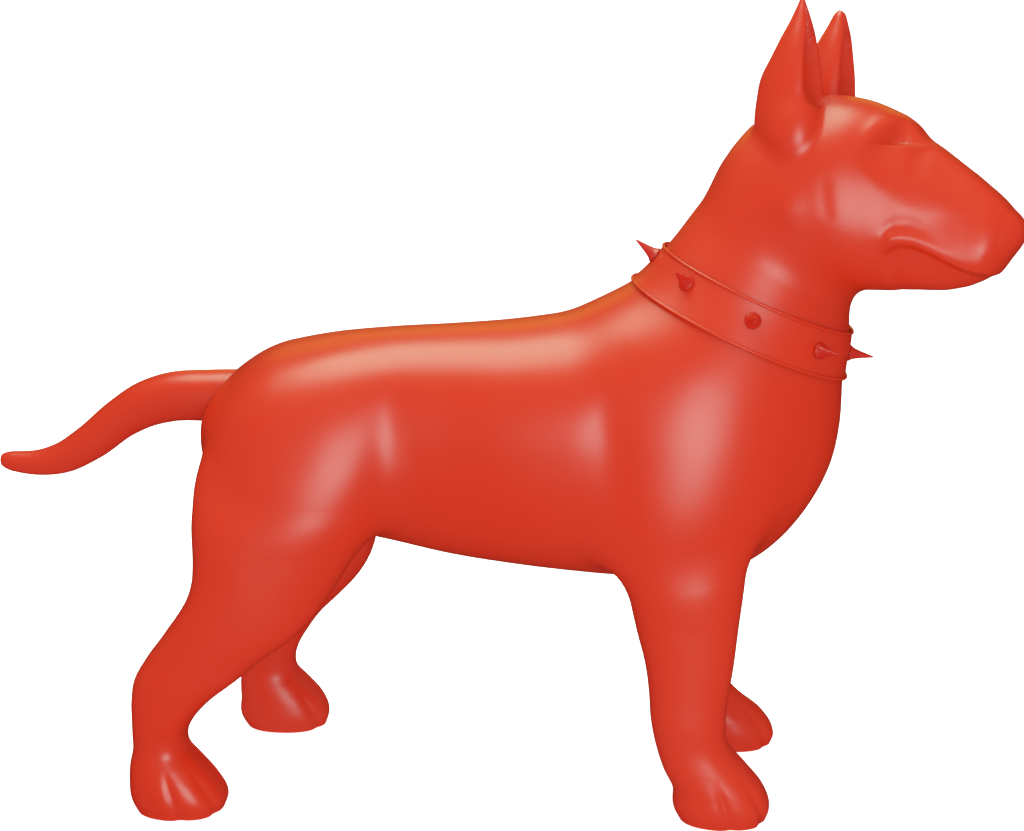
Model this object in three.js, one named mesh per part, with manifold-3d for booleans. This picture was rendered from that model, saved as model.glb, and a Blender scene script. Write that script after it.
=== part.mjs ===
// A life-size English bull terrier statue: a hollow moulded dog on a steel armature, with a spiked collar.
// Millimetres. +X is where the dog looks, +Y is its left side, +Z is up, and Z = 0 is the floor.
import * as THREE from 'three';
import { mergeVertices } from 'three/addons/utils/BufferGeometryUtils.js';
import Module from 'manifold-3d';

const wasm = await Module();
wasm.setup();

// Driving dimensions: walls, clearances and laps of the moulded skin
const WALL = 5;
const JOINT_GAP = 0.35;
const SEAM_GAP = 0.3;
const NECK_LAP = 24;
const LAP_WALL = 3.5;
const SEAM_LAP_ANGLE = 8;
const BLEND_LEG = 18;
const BLEND_MUSCLE = 35;
const BLEND_NECK = 45;
const BLEND_HEAD = 24;
const BLEND_EAR = 16;

// Driving dimensions: collar and spikes
const COLLAR_WIDTH = 47;
const COLLAR_BAND = 2.4;
const COLLAR_BEAD = 2.3;
const COLLAR_CLEARANCE = 1;
const SPIKE_SEAT_GAP = 0.5;
const SPIKE_COUNT = 8;
const SPIKE_LENGTH = 25;
const SPIKE_BASE_DIAMETER = 16;
const SPIKE_SHANK_DIAMETER = 5;

// Driving dimensions: ears, tail and their dowels
const EAR_PLACE = 46;
const EAR_WALL = 6;
const EAR_DOWEL_DIAMETER = 10;
const EAR_DOWEL_LENGTH = 26;
const TAIL_SPIGOT_DIAMETER = 24;
const TAIL_SPIGOT_LENGTH = 24;

// Driving dimensions: steel armature, paw plates and foot pads
const ROD_DIAMETER = 12;
const ROD_CLEARANCE = 1;
const YOKE_SECTION = 20;
const YOKE_RISE = 32;
const SHOULDER_YOKE_X = 178;
const HIP_YOKE_X = -203;
const SPINE_DIAMETER = 22;
const PAD_THICKNESS = 3;
const PAD_SHARE = 0.62;
const PLATE_THICKNESS = 6;
const SOLE_RISE = 1.2;

// Facets: rays round the body, round a leg, round the head and round a small part
const BODY_RAYS = 24;
const LEG_RAYS = 14;
const ROD_SIDES = 8;
const COLLAR_RAYS = 36;

// Stations of the trunk along X: x, top, bottom, half width
const TRUNK = [
  [-312, 426, 306, 88], [-280, 436, 288, 98], [-240, 448, 276, 104], [-180, 461, 268, 102],
  [-120, 468, 255, 96], [-60, 472, 242, 100], [0, 477, 234, 110], [60, 486, 228, 118],
  [120, 498, 224, 120], [180, 502, 225, 118], [240, 486, 240, 108], [290, 464, 268, 98],
  [330, 440, 304, 90],
];
const TRUNK_REAR = { start: -221, end: -313 };
const TRUNK_FRONT = { start: 212, end: 321 };

// Stations of the neck along its own leaning axis: distance, back, front, half width
const NECK_FOOT = { x: 175, z: 396 };
const NECK_LEAN = 65.4;
const NECK = [
  [-20, 103, -98, 100], [40, 114, -114, 104], [90, 96, -120, 98], [129, 88, -113, 89],
  [150, 83, -102, 84], [170, 79, -94, 80], [210, 71, -82, 76], [240, 67, -78, 72], [270, 60, -60, 66],
];

// The head turns about the top of the neck. Its stations run forward: distance, top, bottom, half width
const HEAD_PIVOT = new THREE.Vector3(262, 0, 591);
const HEAD_TURN = -24.5;
const HEAD_TURN_AXIS_LEAN = 77;
const HEAD = [
  [-50, 62, -50, 60], [-20, 80, -60, 68], [10, 96, -67, 75], [44, 108, -72, 79],
  [75, 106, -73, 76], [105, 98, -72, 66], [121, 90.5, -71.5, 60.5], [131, 83, -71.5, 57.5],
  [139, 74, -71, 55], [155, 63.5, -70, 50.5], [175, 50, -66, 46.5], [190, 40, -61, 44],
  [205, 30, -54, 41], [222, 19.5, -43, 36], [238, 10, -30, 30],
];
const HEAD_FRONT = { start: 198, end: 238 };
const HEAD_BACK = { start: -15, end: -60 };

// Shoulder and thigh muscles: egg-shaped swellings, mirrored on both sides
const MUSCLES = [
  { x: 172, y: 88, z: 358, size: [74, 43, 112], tilt: -18 },
  { x: -209, y: 80, z: 327, size: [99, 53, 102], tilt: 12 },
];

// Stations of the legs above the floor: z, x, y, half length, half width
const FORELEG = [
  [0, 215, 98, 42, 36], [12, 214, 98, 47, 40], [33, 210, 98, 44.5, 39], [53, 197.5, 98, 41.5, 36],
  [74, 185, 97, 36, 34], [103, 180, 96, 37, 35], [128, 180, 95, 39, 35], [157, 180, 94, 43, 36],
  [196, 177, 92, 50, 39], [242, 175, 90, 57, 42], [296, 178, 82, 58, 36], [336, 179, 73, 49, 28],
  [396, 180, 58, 34, 18],
];
const HIND_RIGHT = [
  [0, -324, 111, 42, 38], [12, -325, 111, 47, 41], [32, -331, 110, 43, 40], [48, -337, 109, 36, 36],
  [63, -342, 108, 28, 31], [78, -343, 108, 27, 30], [92, -340, 108, 30, 31], [113, -331, 107, 39, 32],
  [135, -315, 106, 51, 33], [154, -298, 105, 57, 34], [180, -271, 103, 65, 38], [223, -241, 99, 71, 42],
  [257, -228.5, 95, 77.5, 45], [296, -214, 86, 80, 40], [336, -206, 74, 68, 31], [396, -200, 56, 40, 20],
];
const HIND_LEFT = [
  [0, -257.5, 118, 42.5, 37], [12, -259, 118, 48, 40], [32, -262.5, 118, 44.5, 39], [48, -269, 117, 38, 35],
  [63, -275, 116, 31, 30], [78, -276, 115, 30, 29], [92, -274, 114, 32, 30], [113, -268, 112, 38, 31],
  [135, -258.5, 110, 44.5, 33], [154, -244.5, 108, 49.5, 34], [180, -227.5, 105, 55.5, 37],
  [223, -211.5, 100, 64.5, 42], [257, -207, 95, 72, 45], [296, -203, 86, 75, 40], [336, -202, 74, 67, 31],
  [396, -200, 56, 40, 20],
];
const LEG_TOP = 396;
// How far the left fore paw stands ahead of the right one, at three heights
const LEFT_PAW_AHEAD = { 0: 14, 12: 14, 33: 9 };

// The tail's centre line from the rump to the tip: x, z, radius
const TAIL = [
  [-270, 398, 26], [-305, 397, 26], [-345, 394.5, 25], [-370, 387, 23.5], [-395, 373, 21],
  [-430, 346, 18.8], [-460, 329, 16], [-486, 323.5, 13], [-506, 324, 10.8], [-518, 325.5, 7.5],
];
const TAIL_TIP = { x: -524, z: 326 };

// An ear above the head's pivot: height, rim, back, half width, depth of the bowl
const EAR = [
  [46, 44, -12, 24, 0], [66, 49, -18, 28, 1], [84, 50, -18, 30, 8], [104, 47, -16, 29.5, 18],
  [124, 44, -12, 27, 22], [144, 41, -1, 23, 20], [162, 38, 9, 17.5, 15], [178, 34, 17, 11, 8],
  [188, 31, 21, 7, 3.5],
];
const EAR_TIP = { height: 196, forward: 27 };
// The swelling of the skull that carries an ear, and how far each ear is moved from its mirror place
const EAR_BULB = { forward: 20, aside: 52, up: 74, size: [35, 29, 31] };
const EAR_SHIFT = { right: { forward: 0, up: 0 }, left: { forward: 5, up: -5 } };

// A station table read as a smooth curve: cubic Hermite through its rows
function stations(rows) {
  const last = rows.length - 1;
  const slopes = rows.map((row, i) => row.map((value, k) => {
    if (i === 0) return (rows[1][k] - value) / (rows[1][0] - row[0]);
    if (i === last) return (value - rows[i - 1][k]) / (row[0] - rows[i - 1][0]);
    const before = row[0] - rows[i - 1][0];
    const after = rows[i + 1][0] - row[0];
    const rise = before * before * rows[i + 1][k] - after * after * rows[i - 1][k];
    return (rise + (after * after - before * before) * value) / (before * after * (before + after));
  }));
  return (place) => {
    const t = THREE.MathUtils.clamp(place, rows[0][0], rows[last][0]);
    let i = 0;
    while (i < last - 1 && t >= rows[i + 1][0]) i += 1;
    const span = rows[i + 1][0] - rows[i][0];
    const u = (t - rows[i][0]) / span;
    const u2 = u * u;
    const u3 = u2 * u;
    return rows[i].slice(1).map((value, k) => (2 * u3 - 3 * u2 + 1) * value
      + (u3 - 2 * u2 + u) * span * slopes[i][k + 1]
      + (3 * u2 - 2 * u3) * rows[i + 1][k + 1]
      + (u3 - u2) * span * slopes[i + 1][k + 1]);
  };
}

// Smooth minimum: two skins joined with a fillet of about the given size
function blend(a, b, size) {
  const h = THREE.MathUtils.clamp(0.5 + (0.5 * (b - a)) / size, 0, 1);
  return b + (a - b) * h - size * h * (1 - h);
}

// How far a place lies into a rounded end: 0 where the rounding starts and 1 at the very end
function into(place, { start, end }) {
  return Math.max(0, (place - start) / (end - start));
}

// Signed distance, roughly, to a section with two half sizes and rounded ends; negative inside
function section(u, v, halfU, halfV, power, ends = []) {
  const parts = [Math.abs(u / halfU), Math.abs(v / halfV), ...ends];
  const rho = parts.reduce((sum, part) => sum + part ** power, 0) ** (1 / power);
  return (rho - 1) * Math.sqrt(halfU * halfV);
}

// Ends a form beyond a range: nothing at first, then twice the distance less this much softness
const PAST_SOFTNESS = 15;
function past(place, low, high) {
  const beyond = Math.max(0, low - place, place - high);
  return (2 * beyond * beyond) / (beyond + PAST_SOFTNESS);
}

const trunkAt = stations(TRUNK);
function trunkSkin(p) {
  const [top, bottom, half] = trunkAt(p.x);
  const ends = [into(p.x, TRUNK_REAR), into(p.x, TRUNK_FRONT)];
  return section(p.z - (top + bottom) / 2, p.y, (top - bottom) / 2, half, 2.3, ends);
}

const neckAt = stations(NECK);
const lean = THREE.MathUtils.degToRad(NECK_LEAN);
function neckSkin(p) {
  const dx = p.x - NECK_FOOT.x;
  const dz = p.z - NECK_FOOT.z;
  const along = dx * Math.cos(lean) + dz * Math.sin(lean);
  const across = dz * Math.cos(lean) - dx * Math.sin(lean);
  const [back, front, half] = neckAt(along);
  return section(across - (back + front) / 2, p.y, (back - front) / 2, half, 2)
    + past(along, NECK[0][0], NECK[NECK.length - 1][0]);
}

// The head's own frame: forward, left and up, turned about a leaning axis
const turnLean = THREE.MathUtils.degToRad(HEAD_TURN_AXIS_LEAN);
const turnAxis = new THREE.Vector3(Math.cos(turnLean), 0, Math.sin(turnLean));
const headTurn = new THREE.Matrix4().makeRotationAxis(turnAxis, THREE.MathUtils.degToRad(HEAD_TURN));
const headForward = new THREE.Vector3();
const headLeft = new THREE.Vector3();
const headUp = new THREE.Vector3();
headTurn.extractBasis(headForward, headLeft, headUp);

function headPoint(forward, left, up) {
  return HEAD_PIVOT.clone().addScaledVector(headForward, forward)
    .addScaledVector(headLeft, left).addScaledVector(headUp, up);
}

function ball(u, v, w, [a, b, c]) {
  return (Math.sqrt((u / a) ** 2 + (v / b) ** 2 + (w / c) ** 2) - 1) * Math.cbrt(a * b * c);
}

const headAt = stations(HEAD);
function headSkin(p) {
  const local = p.clone().sub(HEAD_PIVOT);
  const forward = local.dot(headForward);
  const left = local.dot(headLeft);
  const up = local.dot(headUp);
  const [top, bottom, half] = headAt(forward);
  const ends = [into(forward, HEAD_FRONT), into(forward, HEAD_BACK)];
  const skull = section(up - (top + bottom) / 2, left, (top - bottom) / 2, half, 2.25, ends);
  const { forward: bulbForward, aside, up: bulbUp, size } = EAR_BULB;
  const bulb = ball(forward - bulbForward, Math.abs(left) - aside, up - bulbUp, size);
  return blend(skull, bulb, BLEND_EAR);
}

function muscleSkin(p, { x, y, z, size, tilt }) {
  const angle = THREE.MathUtils.degToRad(tilt);
  const dx = p.x - x;
  const dz = p.z - z;
  return ball(dx * Math.cos(angle) + dz * Math.sin(angle), Math.abs(p.y) - y,
    dz * Math.cos(angle) - dx * Math.sin(angle), size);
}

function bodySkin(p) {
  let skin = blend(trunkSkin(p), neckSkin(p), BLEND_NECK);
  for (const muscle of MUSCLES) skin = blend(skin, muscleSkin(p, muscle), BLEND_MUSCLE);
  return blend(skin, headSkin(p), BLEND_HEAD);
}

// Both forelegs share one form; the left paw stands a little ahead
const foreAhead = FORELEG.map(([z, x, ...rest]) => [z, x + (LEFT_PAW_AHEAD[z] ?? 0), ...rest]);
const LEGS = [
  { name: 'foreleg_right', side: -1, rows: FORELEG },
  { name: 'foreleg_left', side: 1, rows: foreAhead },
  { name: 'hind_leg_right', side: -1, rows: HIND_RIGHT },
  { name: 'hind_leg_left', side: 1, rows: HIND_LEFT },
];
for (const leg of LEGS) leg.at = stations(leg.rows);
function legSkin(p, leg) {
  const [x, y, long, wide] = leg.at(p.z);
  return section(p.x - x, p.y - leg.side * y, long, wide, 2.3) + past(p.z, 0, LEG_TOP);
}

// The trunk's own skin rises in a fillet to each leg, and the leg's own skin flares to the trunk
function trunkShell(p) {
  const body = bodySkin(p);
  return LEGS.reduce((skin, leg) => blend(skin, skin + Math.abs(legSkin(p, leg) - skin), BLEND_LEG), body);
}
function legShell(leg) {
  return (p) => {
    const own = legSkin(p, leg);
    return blend(own, own + Math.abs(bodySkin(p) - own), BLEND_LEG);
  };
}

// Walks out along a ray from inside and halves the last step down to the wanted level of the skin
function reach(skin, from, way, level) {
  const step = 6;
  const at = new THREE.Vector3();
  let far = step;
  while (far < 400 && skin(at.copy(from).addScaledVector(way, far)) < level) far += step;
  let near = far - step;
  for (let i = 0; i < 22; i += 1) {
    const middle = (near + far) / 2;
    if (skin(at.copy(from).addScaledVector(way, middle)) < level) near = middle;
    else far = middle;
  }
  return at.copy(from).addScaledVector(way, (near + far) / 2).clone();
}

// A page is one fan of rays: its centre, the way that is its top, its left and the way it tips towards
function page(centre, top, left, tip = 0) {
  const normal = new THREE.Vector3().crossVectors(left, top).normalize();
  return { centre, top: top.clone().normalize(), left, tip: THREE.MathUtils.degToRad(tip), normal };
}
function ray({ top, left, normal, tip }, angle) {
  return new THREE.Vector3().addScaledVector(top, Math.cos(angle)).addScaledVector(left, Math.sin(angle))
    .multiplyScalar(Math.cos(tip)).addScaledVector(normal, Math.sin(tip)).normalize();
}
function pageRow(skin, sheet, angles, level) {
  return angles.map((angle) => reach(skin, sheet.centre, ray(sheet, angle), level));
}
function moved(sheet, offset) {
  return { ...sheet, centre: sheet.centre.clone().addScaledVector(sheet.normal, offset) };
}
function evenAngles(count, from = 0, to = 2 * Math.PI) {
  return Array.from({ length: count }, (unused, i) => from + ((to - from) * i) / count);
}

// A closed geometry from points and triangles; its faces are turned outwards if they point in
function closedBody(points, faces) {
  const geometry = new THREE.BufferGeometry();
  geometry.setAttribute('position', new THREE.Float32BufferAttribute(points.flatMap((p) => p.toArray()), 3));
  geometry.setIndex(faces);
  return geometry;
}

// The quads between neighbouring rows of a grid; columns may close on themselves
function gridFaces(rowCount, width, start, closed, flip) {
  const faces = [];
  for (let i = 0; i < rowCount - 1; i += 1) {
    for (let j = 0; j < (closed ? width : width - 1); j += 1) {
      const a = start + i * width + j;
      const b = start + i * width + ((j + 1) % width);
      if (flip) faces.push(a, b + width, b, a, a + width, b + width);
      else faces.push(a, b, b + width, a, b + width, a + width);
    }
  }
  return faces;
}

// A lump closed at both ends: rows of points from one end to the other, with a hub in each end
function lump(rows) {
  const width = rows[0].length;
  const points = rows.flat();
  const faces = gridFaces(rows.length, width, 0, true, false);
  [0, rows.length - 1].forEach((row, end) => {
    const hub = rows[row].reduce((sum, p) => sum.add(p), new THREE.Vector3()).divideScalar(width);
    const centre = points.push(hub) - 1;
    for (let j = 0; j < width; j += 1) {
      const a = row * width + j;
      const b = row * width + ((j + 1) % width);
      if (end) faces.push(a, b, centre);
      else faces.push(b, a, centre);
    }
  });
  return closedBody(points, faces);
}

// A hoop: rows of points that come back to the first row, with closed columns
function hoop(rows) {
  return closedBody([...rows, rows[0]].flat(), gridFaces(rows.length + 1, rows[0].length, 0, true, false));
}

// A shell with a wall: an outer and an inner grid, joined along every open edge
function shell(outer, inner, closed) {
  const width = outer[0].length;
  const count = outer.length;
  const inside = count * width;
  const outside = gridFaces(count, width, 0, closed, false);
  const faces = [...outside, ...gridFaces(count, width, inside, closed, true)];
  for (let j = 0; j < (closed ? width : width - 1); j += 1) {
    const next = (j + 1) % width;
    const end = (count - 1) * width;
    faces.push(j, inside + j, inside + next, j, inside + next, next);
    faces.push(end + j, inside + end + next, inside + end + j, end + j, end + next, inside + end + next);
  }
  if (!closed) {
    for (let i = 0; i < count - 1; i += 1) {
      const a = i * width;
      const b = a + width - 1;
      faces.push(a, a + width, inside + a + width, a, inside + a + width, inside + a);
      faces.push(b, inside + b + width, b + width, b, inside + b, inside + b + width);
    }
  }
  return closedBody([...outer.flat(), ...inner.flat()], faces);
}

// A solid for cutting and joining: shared corners merged, flat triangles left out, faces turned outwards
function solid(source) {
  const bare = source.clone();
  bare.deleteAttribute('normal');
  bare.deleteAttribute('uv');
  const merged = mergeVertices(bare, 1e-4);
  const points = merged.attributes.position.array;
  const index = merged.index.array;
  const kept = [];
  let volume = 0;
  const corner = (i) => new THREE.Vector3(points[3 * i], points[3 * i + 1], points[3 * i + 2]);
  for (let i = 0; i < index.length; i += 3) {
    const [a, b, c] = [index[i], index[i + 1], index[i + 2]];
    if (a !== b && b !== c && c !== a) {
      kept.push(a, b, c);
      volume += corner(a).dot(corner(b).cross(corner(c)));
    }
  }
  if (volume < 0) {
    for (let i = 0; i < kept.length; i += 3) [kept[i], kept[i + 1]] = [kept[i + 1], kept[i]];
  }
  const vertProperties = new Float32Array(points);
  return new wasm.Manifold(new wasm.Mesh({ numProp: 3, vertProperties, triVerts: new Uint32Array(kept) }));
}
function geometryOf(body) {
  const mesh = body.getMesh();
  const geometry = new THREE.BufferGeometry();
  geometry.setAttribute('position', new THREE.BufferAttribute(new Float32Array(mesh.vertProperties), 3));
  geometry.setIndex(new THREE.BufferAttribute(new Uint32Array(mesh.triVerts), 1));
  return geometry;
}

// A round bar between two points
function bar(from, to, radius, sides = 16) {
  const way = to.clone().sub(from);
  const geometry = new THREE.CylinderGeometry(radius, radius, way.length(), sides);
  const axis = new THREE.Vector3(0, 1, 0);
  geometry.applyQuaternion(new THREE.Quaternion().setFromUnitVectors(axis, way.clone().normalize()));
  return geometry.translate(...from.clone().add(to).multiplyScalar(0.5).toArray());
}

// Materials: one coat of satin lacquer over everything that shows, bare steel and rubber inside and below
const lacquer = () => new THREE.MeshStandardMaterial({ color: '#d93a22', roughness: 0.38, metalness: 0 });
const steel = () => new THREE.MeshStandardMaterial({ color: '#8d9094', roughness: 0.5, metalness: 1 });
const rubber = () => new THREE.MeshStandardMaterial({ color: '#1d1d1e', roughness: 0.85, metalness: 0 });

const dog = new THREE.Group();
function add(name, geometry, material) {
  const mesh = new THREE.Mesh(geometry, material);
  mesh.name = name;
  dog.add(mesh);
}

// The collar's plane is the joint between head and trunk: its centre, its tilt and the way to the nape
const COLLAR_CENTRE = new THREE.Vector3(230, 0, 494);
const COLLAR_TILT = 23.9;
const tilt = THREE.MathUtils.degToRad(COLLAR_TILT);
const LEFT = new THREE.Vector3(0, 1, 0);
const toNape = new THREE.Vector3(-Math.cos(tilt), 0, Math.sin(tilt));
const collarPage = page(COLLAR_CENTRE, toNape, LEFT);

// Pages of the trunk: a rounded rump, upright ribs, then a fan round a point above the withers
const RUMP_CENTRE = new THREE.Vector3(-205, 0, 368);
const RUMP_POLE_RISE = 17.5;
const RUMP_STEPS = 6;
const RIB_STEPS = 9;
const FAN_STEPS = 8;
const WITHERS_X = 60;
const RIB_END_HEIGHT = 362;
function trunkPages() {
  const pages = [];
  for (let i = 0; i < RUMP_STEPS; i += 1) {
    const share = 1 - i / RUMP_STEPS;
    const rise = THREE.MathUtils.degToRad(RUMP_POLE_RISE * share);
    pages.push(page(RUMP_CENTRE, new THREE.Vector3(Math.sin(rise), 0, Math.cos(rise)), LEFT, -90 * share));
  }
  const lapPage = moved(collarPage, -NECK_LAP);
  const toHinge = (lapPage.centre.x - WITHERS_X) / Math.cos(tilt);
  const hinge = lapPage.centre.clone().addScaledVector(toNape, toHinge);
  const ribEnd = new THREE.Vector3(WITHERS_X, 0, RIB_END_HEIGHT);
  for (let i = 0; i < RIB_STEPS; i += 1) {
    pages.push(page(RUMP_CENTRE.clone().lerp(ribEnd, i / RIB_STEPS), new THREE.Vector3(0, 0, 1), LEFT));
  }
  const first = hinge.z - RIB_END_HEIGHT;
  const last = hinge.distanceTo(lapPage.centre);
  for (let i = 0; i < FAN_STEPS; i += 1) {
    const share = i / FAN_STEPS;
    const turn = share * (Math.PI / 2 - tilt);
    const top = new THREE.Vector3(-Math.sin(turn), 0, Math.cos(turn));
    const away = THREE.MathUtils.lerp(first, last, share);
    pages.push(page(hinge.clone().addScaledVector(top, -away), top, LEFT));
  }
  pages.push(lapPage, collarPage);
  return pages;
}

// The trunk: two half shells bonded along the middle plane, the left one with a lap inside the right one
const pagesOfTrunk = trunkPages();
const turnFull = evenAngles(BODY_RAYS);
const lapTurn = THREE.MathUtils.degToRad(SEAM_LAP_ANGLE);
function trunkHalf(start, lapped) {
  const turns = evenAngles(BODY_RAYS / 2 + 1, start, start + Math.PI * (1 + 2 / BODY_RAYS));
  const [first, last] = [turns[0], turns[turns.length - 1]];
  const outerRows = [];
  const innerRows = [];
  pagesOfTrunk.forEach((sheet, index) => {
    const lapHere = lapped && index < pagesOfTrunk.length - 2;
    const lapOut = lapHere ? -WALL - JOINT_GAP : -WALL;
    const lapIn = lapHere ? lapOut - LAP_WALL : -WALL;
    const lapEdge = lapHere ? lapTurn : 0;
    const at = (angle, level) => reach(trunkShell, sheet.centre, ray(sheet, angle), level);
    const outer = turns.map((angle) => at(angle, 0));
    const inner = turns.map((angle) => at(angle, -WALL));
    if (lapped) {
      inner[0] = at(first + lapTurn, lapIn);
      inner[inner.length - 1] = at(last - lapTurn, lapIn);
      outer.unshift(at(first - lapEdge, lapOut), at(first, lapOut));
      outer.push(at(last, lapOut), at(last + lapEdge, lapOut));
      inner.unshift(at(first - lapEdge, lapIn), at(first, lapIn));
      inner.push(at(last, lapIn), at(last + lapEdge, lapIn));
    } else {
      for (const [row, level] of [[outer, 0], [inner, -WALL]]) {
        row.splice(1, 0, at(first + lapTurn, level));
        row.splice(row.length - 1, 0, at(last - lapTurn, level));
      }
    }
    outerRows.push(outer);
    innerRows.push(inner);
  });
  return solid(shell(outerRows, innerRows, false));
}
const cutLevel = JOINT_GAP + SEAM_GAP / 2;
const trunkCutter = solid(lump(pagesOfTrunk.map((sheet) => pageRow(trunkShell, sheet, turnFull, cutLevel))));

// Pages of the head: up the neck, round the throat's corner like a book, along the muzzle, and over the nose
const THROAT_HINGE = { forward: 94, up: -94 };
const THROAT_FAN = { from: 156, to: 90, reachFrom: 110, reachTo: 109 };
const THROAT_STEPS = 9;
const NECK_STEPS = 2;
const MUZZLE_END = { forward: 190, up: -12 };
const MUZZLE_STEPS = 5;
const NOSE_STEPS = 5;
function headDirection(angle) {
  const turn = THREE.MathUtils.degToRad(angle);
  return headForward.clone().multiplyScalar(Math.cos(turn)).addScaledVector(headUp, Math.sin(turn));
}
function headPages() {
  const fan = [];
  for (let i = 0; i <= THROAT_STEPS; i += 1) {
    const share = i / THROAT_STEPS;
    const top = headDirection(THREE.MathUtils.lerp(THROAT_FAN.from, THROAT_FAN.to, share));
    const out = THREE.MathUtils.lerp(THROAT_FAN.reachFrom, THROAT_FAN.reachTo, share);
    const hinge = headPoint(THROAT_HINGE.forward, 0, THROAT_HINGE.up);
    fan.push(page(hinge.addScaledVector(top, out), top, headLeft));
  }
  const neck = [];
  for (let i = 1; i <= NECK_STEPS; i += 1) {
    const share = i / (NECK_STEPS + 1);
    const top = toNape.clone().lerp(fan[0].top, share).normalize();
    const left = LEFT.clone().lerp(headLeft, share);
    left.addScaledVector(top, -left.dot(top)).normalize();
    neck.push(page(COLLAR_CENTRE.clone().lerp(fan[0].centre, share), top, left));
  }
  const muzzle = [];
  const fanEnd = fan[fan.length - 1];
  const muzzleEnd = headPoint(MUZZLE_END.forward, 0, MUZZLE_END.up);
  for (let i = 1; i <= MUZZLE_STEPS; i += 1) {
    muzzle.push(page(fanEnd.centre.clone().lerp(muzzleEnd, i / MUZZLE_STEPS), headUp, headLeft));
  }
  for (let i = 1; i <= NOSE_STEPS; i += 1) {
    muzzle.push(page(muzzleEnd, headUp, headLeft, (90 * i) / NOSE_STEPS));
  }
  return [...neck, ...fan, ...muzzle];
}

// The head: a shell down to the collar's plane, with a spigot that laps inside the trunk's neck
const pagesOfHead = headPages();
const headEdge = moved(collarPage, SEAM_GAP);
const spigotOut = -WALL - JOINT_GAP;
const spigotIn = spigotOut - LAP_WALL;
const headRow = (sheet, level) => pageRow(bodySkin, sheet, turnFull, level);
const lapPage = moved(collarPage, SEAM_GAP - NECK_LAP);
const headOuter = [headRow(lapPage, spigotOut), headRow(headEdge, spigotOut), headRow(headEdge, 0),
  ...pagesOfHead.map((sheet) => headRow(sheet, 0))];
const headInner = [headRow(lapPage, spigotIn), headRow(headEdge, spigotIn),
  headRow(moved(headEdge, NECK_LAP / 3), spigotIn), ...pagesOfHead.map((sheet) => headRow(sheet, -WALL))];
const headShell = solid(shell(headOuter, headInner, true));
const headCutter = solid(lump([headRow(headEdge, cutLevel),
  ...pagesOfHead.map((sheet) => headRow(sheet, cutLevel))]));

// The ears: crescent sections stacked from the skull to the tip, hollow in front
const EAR_BACK_POINTS = 9;
const EAR_BOWL_POINTS = 5;
const halfTurn = (count) => evenAngles(count, -Math.PI / 2, (Math.PI / 2) * (1 + 2 / (count - 1)));
const earAngles = halfTurn(EAR_BACK_POINTS);
const bowlAngles = halfTurn(EAR_BOWL_POINTS).map((angle) => -angle);
function earBody(side, shift) {
  const place = (forward, aside, up) => headPoint(forward + shift.forward, side * (EAR_PLACE + aside),
    up + shift.up);
  const rows = EAR.map(([height, rim, back, half, bowl]) => {
    const rimHalf = Math.max(half - EAR_WALL * 0.6, half * 0.35);
    const outside = earAngles.map((angle) => place(rim - (rim - back) * Math.cos(angle),
      half * Math.sin(angle), height));
    const bowlSide = bowlAngles.map((angle) => place(rim - bowl * Math.cos(angle),
      rimHalf * Math.sin(angle), height));
    return [...outside, ...bowlSide];
  });
  const tip = place(EAR_TIP.forward, 0, EAR_TIP.height);
  rows.push(rows[0].map(() => tip.clone()));
  return solid(lump(rows));
}
const DOWEL_FORWARD = 16;
function earDowel(side, shift, radius, extra) {
  const foot = headPoint(DOWEL_FORWARD + shift.forward, side * EAR_PLACE, 0);
  const skin = reach(bodySkin, foot, headUp, 0);
  const low = skin.clone().addScaledVector(headUp, -EAR_DOWEL_LENGTH / 2 - extra);
  const high = skin.clone().addScaledVector(headUp, EAR_DOWEL_LENGTH / 2);
  return solid(bar(low, high, radius, 12));
}
let headSolid = headShell;
const DOWEL_CLEARANCE = 0.36;
const DOWEL_END_ROOM = 4;
for (const [name, side, shift] of [['ear_right', -1, EAR_SHIFT.right], ['ear_left', 1, EAR_SHIFT.left]]) {
  const dowel = earDowel(side, shift, EAR_DOWEL_DIAMETER / 2, 0);
  const hole = earDowel(side, shift, EAR_DOWEL_DIAMETER / 2 + DOWEL_CLEARANCE, DOWEL_END_ROOM);
  headSolid = headSolid.subtract(hole);
  add(name, geometryOf(earBody(side, shift).subtract(headCutter).add(dowel)), lacquer());
}
add('head', geometryOf(headSolid), lacquer());

// The tail: round sections carried along its curve, with a spigot glued into the rump
const TAIL_SIDES = 12;
const TAIL_FLATTEN = 0.94;
const tailAt = new THREE.CatmullRomCurve3(TAIL.map(([x, z]) => new THREE.Vector3(x, 0, z)));
function tailBody() {
  const rows = TAIL.map(([x, z, radius], i) => {
    const along = tailAt.getTangent(i / (TAIL.length - 1));
    const up = new THREE.Vector3().crossVectors(along, LEFT).normalize();
    return evenAngles(TAIL_SIDES).map((angle) => new THREE.Vector3(x, 0, z)
      .addScaledVector(up, radius * Math.cos(angle))
      .addScaledVector(LEFT, radius * TAIL_FLATTEN * Math.sin(angle)));
  });
  const tip = new THREE.Vector3(TAIL_TIP.x, 0, TAIL_TIP.z);
  rows.push(rows[0].map(() => tip.clone()));
  return solid(lump(rows));
}
const [tailRoot, , tailBend] = TAIL.map(([x, z]) => new THREE.Vector3(x, 0, z));
const tailWay = tailRoot.clone().sub(tailBend).normalize();
const tailSeat = reach(trunkShell, tailRoot, tailWay.clone().negate(), 0);
function tailSpigot(radius, extra) {
  return solid(bar(tailSeat.clone().addScaledVector(tailWay, TAIL_SPIGOT_LENGTH + extra),
    tailSeat.clone().addScaledVector(tailWay, -TAIL_SPIGOT_LENGTH / 2), radius));
}
const tailSolid = tailBody().subtract(trunkCutter).add(tailSpigot(TAIL_SPIGOT_DIAMETER / 2, 0));
add('tail', geometryOf(tailSolid), lacquer());

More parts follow.
